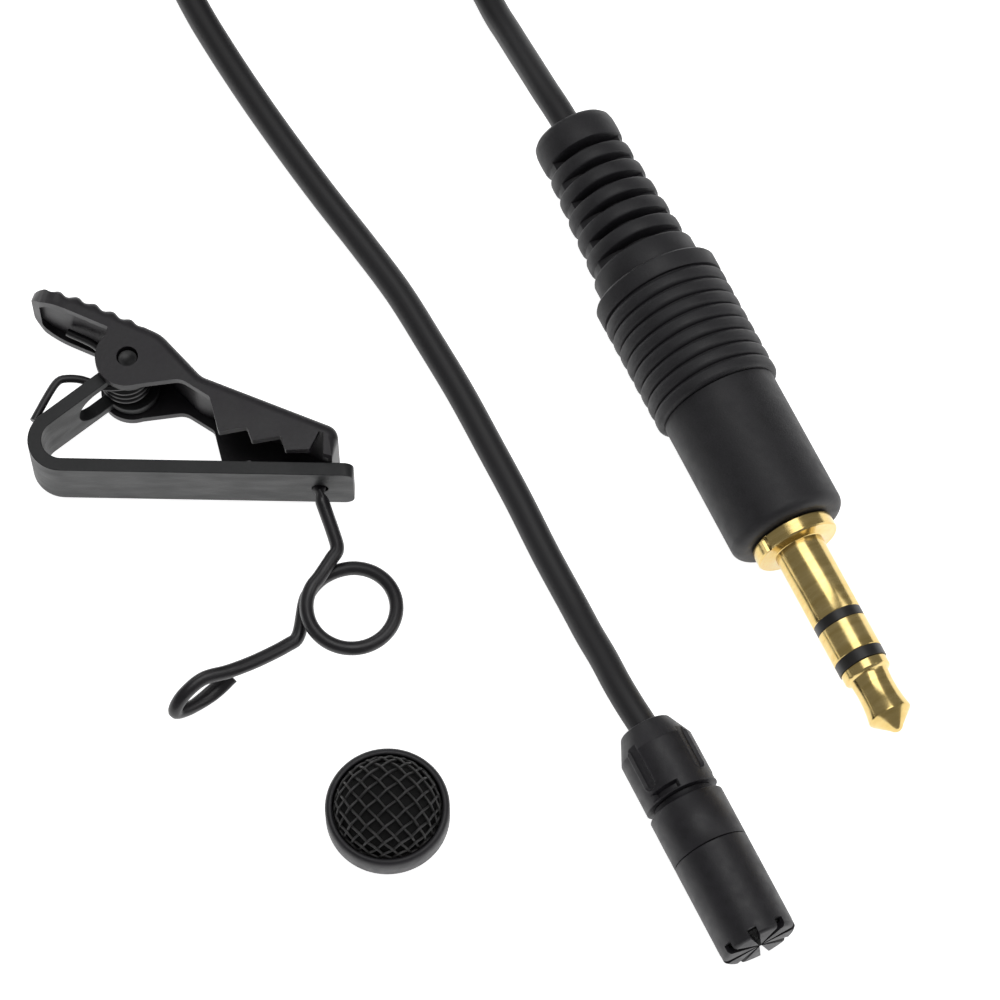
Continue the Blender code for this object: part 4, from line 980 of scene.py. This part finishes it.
def press_ridges(mesh, line):
    """The mesh with shallow ridges across the pad's back, fading out down its sides."""
    first, last = RIDGES
    for vert in mesh.vertices:
        x, y = vert.co.x, vert.co.y
        share = min(1.0, max(0.0, x - first), max(0.0, last - x))
        if share <= 0.0:
            continue
        depth = max(0.0, 1.0 - gap_to(Vector((x, y)), line) / RIDGE_FADE)
        wave = RIDGE_RISE * share * depth * math.cos(2 * math.pi * (x - first) / RIDGE_PITCH)
        vert.co.x += RIDGE_WAY[0] * wave
        vert.co.y += RIDGE_WAY[1] * wave
    return mesh


def lever_outline():
    """The lever's side: its back, the foot, three teeth, the ear and the thumb pad."""
    foot = offset_line(WEB, SHEET_T)[-1]
    relief = foot[0] - 0.35
    corners = [(x, y, 0.0) for x, y in back_line()]
    corners += [(foot[0], foot[1], 0.0), (foot[0] - 0.02, -5.45, 0.0), (relief, -5.3, 0.0),
                (relief - 0.6, -6.65, 0.15)]
    for k in (2, 1, 0):
        x, y = (at + k * step for at, step in zip(TOOTH_AT, TOOTH_STEP))
        if k < 2:
            corners.append((x + GULLET[0], y + GULLET[1], 0.12))
        corners.append((x, y, 0.12))
    corners += [(5.75, -2.9, 0.5), (3.7, -1.6, 1.2)]
    corners += [(x, y, 0.0) for x, y in arc((0.0, 0.0), EAR_R, -70.0, -225.0)]
    corners += [(-1.45, 2.2, 0.0), (-6.3, 4.3, 0.8), (-7.0, 4.9, 0.3)]
    return rounded(corners)


def rolled_plate(outline, line, half, roll, steps=7):
    """A plate of one outline; where the outline follows a line, it turns over into both faces."""
    count = len(outline)
    inward = []
    for index, point in enumerate(outline):
        here = Vector(point)
        on_line = gap_to(here, line) < 0.02
        along = Vector(outline[(index + 1) % count]) - Vector(outline[index - 1])
        share = min(1.0, (here - line[0]).length / roll, (here - line[-1]).length / roll)
        inward.append(Vector((along.y, -along.x)).normalized() * (share if on_line else 0.0))
    levels = []
    for step in range(steps + 1):
        lean = math.pi / 2 * step / steps
        levels.append((half - roll * (1.0 - math.cos(lean)), roll * (1.0 - math.sin(lean))))
    levels = [(-z, inset) for z, inset in levels] + levels[::-1]
    verts = [(x + way.x * inset, y + way.y * inset, z)
             for z, inset in levels for (x, y), way in zip(outline, inward)]
    last = (len(levels) - 1) * count
    faces = [list(range(count))[::-1], list(range(last, last + count))]
    faces += [[k * count + i, k * count + (i + 1) % count, (k + 1) * count + (i + 1) % count,
               (k + 1) * count + i] for k in range(len(levels) - 1) for i in range(count)]
    return shape_of(verts, faces)


def pad_waste(side, round_r, half, end_x):
    """The waste outside one rounded corner of the thumb pad, square on to the pad."""
    centre = (-round_r, side * (half - round_r))
    bow = arc(centre, round_r, side * 90.0, 0.0, 10.0)
    waste = prism(bow + [(2.0, side * (half - round_r)), (2.0, side * (half + 2.0)),
                         (-round_r, side * (half + 2.0))], 3.0)
    slope = math.atan2(WEB[0][1] - WEB[1][1], WEB[0][0] - WEB[1][0])
    turn = Matrix.Rotation(slope, 4, "Z") @ Matrix.Rotation(math.pi / 2, 4, "X")
    return moved(waste, Matrix.Translation((end_x, WEB[0][1], 0.0)) @ turn)


def jaw_lever_pressing():
    """The lever: pressed sheet, its back rolled over into two sides with teeth."""
    web_line = [Vector(point) for point in back_line()]
    body = press_ridges(rolled_plate(lever_outline(), web_line, LEVER_HALF, BACK_ROLL), web_line)
    for side in (-1, 1):
        body = carve(body, pad_waste(side, PAD_ROUND, LEVER_HALF, WEB[0][0]))
    inner = offset_line(WEB, SHEET_T)
    slope = (inner[0][1] - inner[1][1]) / (inner[0][0] - inner[1][0])
    channel_end = WEB[0][0] + SHEET_T
    start = (channel_end, inner[1][1] + slope * (channel_end - inner[1][0]), 0.0)
    channel = prism(rounded([start, *inner[1:-1], (inner[-1][0], CHANNEL_LOW, 0.0),
                             (channel_end, CHANNEL_LOW, 0.0)]), LEVER_HALF - SHEET_T)
    for side in (-1, 1):
        channel = carve(channel, pad_waste(side, PAD_ROUND - SHEET_T, LEVER_HALF - SHEET_T,
                                         channel_end))
    body = carve(body, channel)
    body = eased(carve(body, drill(PIVOT_HOLE_R)), 0.05, 2, 40.0)
    return finished("jaw_lever_pressing", body, CLIP, ENAMEL, "jaw_lever",
                    ("clip_lever",), 30.0, flat_faces=True)


def strip_outline():
    """The bent strip seen from its side: long arm, bend, back and pivot ear."""
    angle, offset, bend, ear = math.radians(STRIP_ANGLE), 0.62, 1.4, 1.9
    outer_y = -ARM_DROP - STRIP_T
    across = (-math.sin(angle), math.cos(angle))
    inner_offset = offset - STRIP_T
    outer_x = (across[1] * outer_y - offset) / -across[0]
    inner_x = (across[1] * -ARM_DROP - inner_offset) / -across[0]
    towards = STRIP_ANGLE + 180.0
    ear_line = arc((0.0, 0.0), ear, towards - math.degrees(math.asin(offset / ear)),
                   towards - math.degrees(math.asin(inner_offset / ear)) - 360.0)
    return rounded([(ARM_REACH, -ARM_DROP, 0.0), (ARM_REACH, outer_y, 0.0),
                    (outer_x, outer_y, bend + STRIP_T), *[(x, y, 0.0) for x, y in ear_line],
                    (inner_x, -ARM_DROP, bend)])


def strip_pressing():
    """The strip: sheared spring steel, forked round the spring, pierced for the holder."""
    strip = prism(strip_outline(), STRIP_HALF)
    nose = rounded([(-FAR, -STRIP_HALF, 0.0), (ARM_REACH, -STRIP_HALF, 0.7),
                    (ARM_REACH, STRIP_HALF, 0.7), (-FAR, STRIP_HALF, 0.0)])
    plan = moved(prism(nose, FAR), Matrix.Rotation(math.pi / 2, 4, "X"))
    strip = carve(strip, plan, "INTERSECT")
    half = STRIP_HALF - 0.75
    fork = rounded([(-4.6, -half, half * 0.98), (5.0, -half, 0.0), (5.0, half, 0.0),
                    (-4.6, half, half * 0.98)])
    room = moved(prism(fork, 5.0), Matrix.Rotation(math.radians(STRIP_ANGLE), 4, "Z")
                 @ Matrix.Rotation(math.pi / 2, 4, "X"))
    strip = carve(strip, room)
    strip = carve(strip, drill(PIVOT_HOLE_R))
    pierced = spun([(-3.0, 0.0), (-3.0, 0.56), (0.55, 0.56), (0.55, 0.84), (4.0, 0.84), (4.0, 0.0)],
                   40)
    moved(pierced, Matrix.Translation((HOLDER_AT_X, -ARM_DROP - STRIP_T, 0.0))
          @ Matrix.Rotation(-math.pi / 2, 4, "X"))
    strip = eased(carve(strip, pierced), 0.07, 3, 40.0)
    return finished("strip_pressing", strip, CLIP, PHOSPHATED, "clip_strip",
                    ("clip_base",), 30.0, flat_faces=True)


def pivot_pin():
    """The pin: a plain rod with a shallow dimple in each end."""
    half = 2.8
    side = [(half - 0.05, 0.0), (half - 0.04, 0.3), (half, 0.42), (half, 0.62), (half - 0.08, 0.7)]
    profile = side + [(-z, r) for z, r in reversed(side)]
    # The pin's finish is darker than blackened steel on its own, as painted shade for the recess
    # round its ends.
    return finished("pivot_rod", spun(profile, 48), CLIP, PIN_BLACK_AND_PAINTED_SHADE, "clip_strip",
                    ("pivot_pin",), 30.0)


def torsion_spring():
    """Turns of wire round the pin, one leg hooked on the strip, one under the thumb pad."""
    centre, radius, turns, wire = (-0.35, 0.0), 1.5, 3.6, 0.28
    half = 1.22
    points = [(-6.3, -4.1, half), (-5.4, -2.1, half), (-4.85, -1.15, half), (-4.3, -0.9, half),
              (-3.2, -0.95, half), (-1.6, -1.45, half)]
    steps = 100
    for k in range(steps + 1):
        turn = math.radians(-60.0) + 2 * math.pi * turns * k / steps
        points.append((centre[0] + radius * math.cos(turn), centre[1] + radius * math.sin(turn),
                       half - 2 * half * k / steps))
    points += [(-2.4, 2.55, -half), (-4.6, 3.75, -half)]
    made = finished("torsion_spring_wire", swept(smooth_route(points, 0.22), wire, 12), CLIP,
                    WIRE, None, ("torsion_spring",), 60.0)
    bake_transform(made)
    return made


def holder_route():
    """From the staked head through the arm, once round the ring and on to the end hook."""
    cx, cy, ring = 15.7, -16.75, 3.02
    foot = -ARM_DROP - STRIP_T
    route = [(HOLDER_AT_X, -ARM_DROP - 0.35, 0.0), (HOLDER_AT_X, foot - 0.4, 0.0),
             (14.25, -11.3, 0.0), (14.6, -12.6, 0.02), (14.25, -13.35, 0.08)]
    drop = 2.15 * HOLDER_WIRE_R
    for k in range(31):
        share = k / 30
        angle = math.radians(138.0) + 2 * math.pi * share * 1.09
        radius = ring + 0.25 * max(0.0, share - 0.85) / 0.15
        route.append((cx + radius * math.cos(angle), cy + radius * math.sin(angle),
                      0.1 - (drop + 0.1) * share ** 2))
    route += [(12.15, -18.5, -drop), (11.4, -19.3, -0.9), (9.5, -20.6, -0.4), (7.7, -21.6, 0.1),
              (6.0, -22.3, 0.45), (4.8, -23.3, 0.2), (4.2, -24.0, -0.5), (4.25, -24.1, -1.2),
              (5.3, -23.4, -1.8), (6.7, -22.2, -1.9), (7.7, -21.3, -1.5)]
    return route


def holder_bend():
    """The bent wire holder: pinched into wings below the arm, flattened at its end hook."""
    spacing = 0.2
    points = smooth_route(holder_route(), spacing)
    length = (len(points) - 1) * spacing

    def pinch(share):
        """Flattens the wire just below the arm, and again along the end hook."""
        wing = math.exp(-((share * length - 1.05) / 0.28) ** 2)
        hook = ramp(share - 0.93, 0.03)
        return 1.0 + 0.75 * wing - 0.3 * hook, 1.0 - 0.45 * wing + 0.2 * hook

    wire = swept(points, HOLDER_WIRE_R, 20, pinch)
    head = spun([(-0.3, 0.0), (-0.3, 0.6), (-0.22, 0.72), (-0.1, 0.75), (-0.02, 0.6), (0.0, 0.0)],
                40)
    moved(head, Matrix.Translation((HOLDER_AT_X, -ARM_DROP - 0.02, 0.0))
          @ Matrix.Rotation(-math.pi / 2, 4, "X"))
    return finished("holder_bent_wire", merged(wire, head), CLIP, WIRE, "wire_holder",
                    ("holder_wire",), 50.0)


# ---------------------------------------------------------------- windscreen

DOME_R = 3.52
DOME_RISE = 2.05
DOME_FOOT = 1.4
DOME_FULLNESS = 0.75        # below 1 gives steeper sides and a flatter top
# Rim is the cloth's reach along the dome from its top, so its cells close up in plan there.
CLOTH_SIZES = {"Wires": (COUNT, 12), "Pitch": (FLOAT, 0.73), "Rim": (FLOAT, 4.3),
               "Dome radius": (FLOAT, DOME_R), "Foot": (FLOAT, DOME_FOOT),
               "Rise": (FLOAT, DOME_RISE), "Wave": (FLOAT, 0.1), "Wire": (FLOAT, 0.09),
               "Turn": (FLOAT, 0.0)}


def cloth_tree():
    """Geometry tree: parallel wires draped over a dome, each woven up and down."""
    tree, given, result = new_tree("wire_cloth", CLOTH_SIZES)
    gaps = add(tree, "ShaderNodeMath", {0: given.outputs["Wires"], 1: 1.0}, operation="SUBTRACT")
    width = add(tree, "ShaderNodeMath", {0: gaps.outputs[0], 1: given.outputs["Pitch"]},
                operation="MULTIPLY")
    low = add(tree, "ShaderNodeMath", {0: width.outputs[0], 1: -0.5}, operation="MULTIPLY")
    start = add(tree, "ShaderNodeCombineXYZ", {"Y": low.outputs[0]})
    offset = add(tree, "ShaderNodeCombineXYZ", {"Y": given.outputs["Pitch"]})
    rows = add(tree, "GeometryNodeMeshLine", {"Count": given.outputs["Wires"],
                                              "Start Location": start.outputs[0],
                                              "Offset": offset.outputs[0]})
    numbered = add(tree, "GeometryNodeStoreNamedAttribute",
                   {"Geometry": rows.outputs[0], "Name": "row",
                    "Value": add(tree, "GeometryNodeInputIndex").outputs[0]},
                   data_type="INT", domain="POINT")
    back = add(tree, "ShaderNodeMath", {0: given.outputs["Rim"], 1: -1.0}, operation="MULTIPLY")
    line_start = add(tree, "ShaderNodeCombineXYZ", {"X": back.outputs[0]})
    line_end = add(tree, "ShaderNodeCombineXYZ", {"X": given.outputs["Rim"]})
    line = add(tree, "GeometryNodeCurvePrimitiveLine", {"Start": line_start.outputs[0],
                                                        "End": line_end.outputs[0]})
    fine = add(tree, "GeometryNodeResampleCurve", {"Curve": line.outputs[0], "Count": 96})
    laid = add(tree, "GeometryNodeInstanceOnPoints", {"Points": numbered.outputs[0],
                                                      "Instance": fine.outputs[0]})
    real = add(tree, "GeometryNodeRealizeInstances", {"Geometry": laid.outputs[0]})
    place = add(tree, "ShaderNodeSeparateXYZ",
                {0: add(tree, "GeometryNodeInputPosition").outputs[0]})
    row = add(tree, "GeometryNodeInputNamedAttribute", {"Name": "row"}, data_type="INT")
    flat = add(tree, "ShaderNodeCombineXYZ", {"X": place.outputs["X"], "Y": place.outputs["Y"]})
    out = add(tree, "ShaderNodeVectorMath", {0: flat.outputs[0]}, operation="LENGTH")
    past = add(tree, "FunctionNodeCompare", {0: out.outputs["Value"], 1: given.outputs["Rim"]},
               data_type="FLOAT", operation="GREATER_THAN")
    share = add(tree, "ShaderNodeMath", {0: out.outputs["Value"], 1: given.outputs["Rim"]},
                operation="DIVIDE")
    lean = add(tree, "ShaderNodeMath", {0: share.outputs[0], 1: math.pi / 2},
               operation="MULTIPLY")
    reach_out = add(tree, "ShaderNodeMath", {0: lean.outputs[0]}, operation="SINE")
    from_axis = add(tree, "ShaderNodeMath", {0: reach_out.outputs[0],
                                             1: given.outputs["Dome radius"]},
                    operation="MULTIPLY")
    drawn_in = add(tree, "ShaderNodeMath", {0: from_axis.outputs[0], 1: out.outputs["Value"]},
                   operation="DIVIDE")
    plan = add(tree, "ShaderNodeVectorMath", {0: flat.outputs[0], "Scale": drawn_in.outputs[0]},
               operation="SCALE")
    upright = add(tree, "ShaderNodeMath", {0: lean.outputs[0]}, operation="COSINE")
    full = add(tree, "ShaderNodeMath", {0: upright.outputs[0], 1: DOME_FULLNESS},
               operation="POWER")
    risen = add(tree, "ShaderNodeMath", {0: full.outputs[0], 1: given.outputs["Rise"]},
                operation="MULTIPLY")
    height = add(tree, "ShaderNodeMath", {0: risen.outputs[0], 1: given.outputs["Foot"]},
               operation="ADD")
    cells = add(tree, "ShaderNodeMath", {0: place.outputs["X"], 1: given.outputs["Pitch"]},
                operation="DIVIDE")
    steps = add(tree, "ShaderNodeMath", {0: cells.outputs[0], 1: row.outputs["Attribute"]},
                operation="ADD")
    angle = add(tree, "ShaderNodeMath", {0: steps.outputs[0], 1: math.pi},
                operation="MULTIPLY")
    wave = add(tree, "ShaderNodeMath", {0: angle.outputs[0]}, operation="SINE")
    swing = add(tree, "ShaderNodeMath", {0: wave.outputs[0], 1: given.outputs["Wave"]},
                operation="MULTIPLY")
    level = add(tree, "ShaderNodeMath", {0: height.outputs[0], 1: swing.outputs[0]},
                operation="ADD")
    lifted = add(tree, "ShaderNodeCombineXYZ", {"Z": level.outputs[0]})
    raised = add(tree, "ShaderNodeVectorMath", {0: plan.outputs[0], 1: lifted.outputs[0]},
                 operation="ADD")
    cut = add(tree, "GeometryNodeDeleteGeometry", {"Geometry": real.outputs[0],
                                                   "Selection": past.outputs[0]}, domain="POINT")
    domed = add(tree, "GeometryNodeSetPosition", {"Geometry": cut.outputs[0],
                                                  "Position": raised.outputs[0]})
    section = add(tree, "GeometryNodeCurvePrimitiveCircle", {"Resolution": 8,
                                                             "Radius": given.outputs["Wire"]})
    wires = add(tree, "GeometryNodeCurveToMesh", {"Curve": domed.outputs[0],
                                                  "Profile Curve": section.outputs[0],
                                                  "Fill Caps": True})
    around = add(tree, "ShaderNodeCombineXYZ", {"Z": given.outputs["Turn"]})
    faced = add(tree, "GeometryNodeTransform", {"Geometry": wires.outputs[0],
                                                "Rotation": around.outputs[0]})
    close_tree(tree, given, result, faced.outputs[0])
    return tree


def windscreen_ring():
    """The rim: a low ring with a rolled lip, and a step inside that the mesh sits on."""
    high = (SCREEN_HIGH.z - SCREEN_LOW.z) / MM
    rim = reach("screen_ring", SCREEN)
    inside = rim - 0.45
    ring = [(0.0, 3.32), (0.0, rim - 0.22), (0.06, rim - 0.08), (0.2, rim), (high - 0.24, rim),
            (high - 0.06, rim - 0.12), (high, rim - 0.24), (high, rim - 0.38),
            (high - 0.05, inside), (0.45, inside), (0.45, 3.3), (0.06, 3.3)]
    finished("windscreen_ring", spun(ring, 144), SCREEN, ANODISED, "windscreen",
             ("screen_ring",), 40.0)


def windscreen_cloth():
    """The wire mesh: two families of wires, square on to each other, and a hem."""
    tree = cloth_tree()
    sizes = {label: value for label, (kind, value) in CLOTH_SIZES.items()}
    families = [grown("wire_cloth", tree, {**sizes, "Turn": math.radians(turn)}, CLOTH)
                for turn in (42.0, 132.0)]
    hem = spun([(DOME_FOOT - 0.12, DOME_R - 0.12), (DOME_FOOT - 0.12, DOME_R + 0.02),
                (DOME_FOOT + 0.1, DOME_R + 0.04), (DOME_FOOT + 0.16, DOME_R - 0.04),
                (DOME_FOOT + 0.1, DOME_R - 0.14)], 96)
    finished("windscreen_cloth", merged(*families, hem), SCREEN, CLOTH, "windscreen",
             ("mesh_dome",), 50.0)


def windscreen_foam():
    """The foam pad: domed like the mesh, and a little under it."""
    rise, side, foot = DOME_RISE - 0.35, DOME_R - 0.3, DOME_FOOT - 0.05
    leans = [math.pi / 2 * k / 18 for k in range(19)]
    swell = [(DOME_FOOT + rise * max(0.0, math.cos(lean)) ** DOME_FULLNESS,
              side * math.sin(lean)) for lean in leans]
    foam = spun(swell + [(foot, side), (foot, 0.0)], 64)
    pad = finished("windscreen_foam", foam, SCREEN, FOAM, "windscreen", ("foam_pad",), 50.0)


# ---------------------------------------------------------------- pieces kept from the model

KEPT = {"cord_bush": (RUBBER, "inner_rubber"), "capsule_gasket": (RUBBER, "inner_rubber"),
        "fit_bush": (RUBBER, "inner_rubber"), "dust_felt": (FOAM, "foam"),
        "electret_capsule": (CAN, "capsule_can"), "crimp_ferrule": (BRASS, "crimp_brass"),
        "circuit_board": (LAMINATE, "board_laminate"), "plug_core": (POLYTHENE, "core_moulding"),
        "signal_wire": (RED_PVC, "red_insulation"), "return_wire": (WHITE_PVC, "white_insulation")}


def finish_kept_nodes():
    """Gives each inner CAD node that stays its own material."""
    for name, (material, slot) in KEPT.items():
        node = NODES[name]
        node.data.materials.clear()
        node.data.materials.append(material)


# ---------------------------------------------------------------- table top

def table_top():
    """A plain white table, lit to an even white."""
    mesh = bpy.data.meshes.new("table_top")
    wide = 3.0
    mesh.from_pydata([(-wide, -wide, 0.0), (wide, -wide, 0.0), (wide, wide, 0.0),
                      (-wide, wide, 0.0)], [], [(0, 1, 2, 3)])
    made = object_of(mesh, "table_top")
    made.location.z = -0.0001
    # White laminate: even, matt, and bright enough to leave only a trace of shadow.
    laminate = surface("white_matt_laminate", ("F4F4F4", "F8F8F8"), 4.0, (0.7, 0.8))
    shader = laminate.node_tree.nodes["Principled BSDF"]
    shader.inputs["Emission Color"].default_value = (1.0, 1.0, 1.0, 1.0)
    shader.inputs["Emission Strength"].default_value = FLOOR_GLOW
    shader.inputs["Specular IOR Level"].default_value = 0.1
    mesh.materials.append(laminate)


def studio():
    """Even daylight from all round, a broad softbox above and weaker ones beside and behind."""
    world = bpy.data.worlds.new("studio")
    bpy.context.scene.world = world
    world.use_nodes = True
    sky = world.node_tree.nodes["Background"]
    sky.inputs["Color"].default_value = (1.0, 1.0, 1.0, 1.0)
    sky.inputs["Strength"].default_value = WORLD_LIGHT
    for name, (place, size, power) in SOFTBOXES.items():
        softbox(name, place, size, power)
    bpy.context.scene.view_settings.view_transform = "Standard"


# ---------------------------------------------------------------- the whole set

make_camera()
lead, lead_line = lead_cord()
tie = bundle_tie()
collar_shell()
sleeve_shell()
housing_shell()
boot = boot_moulding()
grip = grip_moulding()
contacts = plug_contacts()
jaw_lever_pressing()
strip_pressing()
pivot_pin()
torsion_spring()
holder_bend()
windscreen_ring()
windscreen_cloth()
windscreen_foam()
finish_kept_nodes()
table_top()
studio()
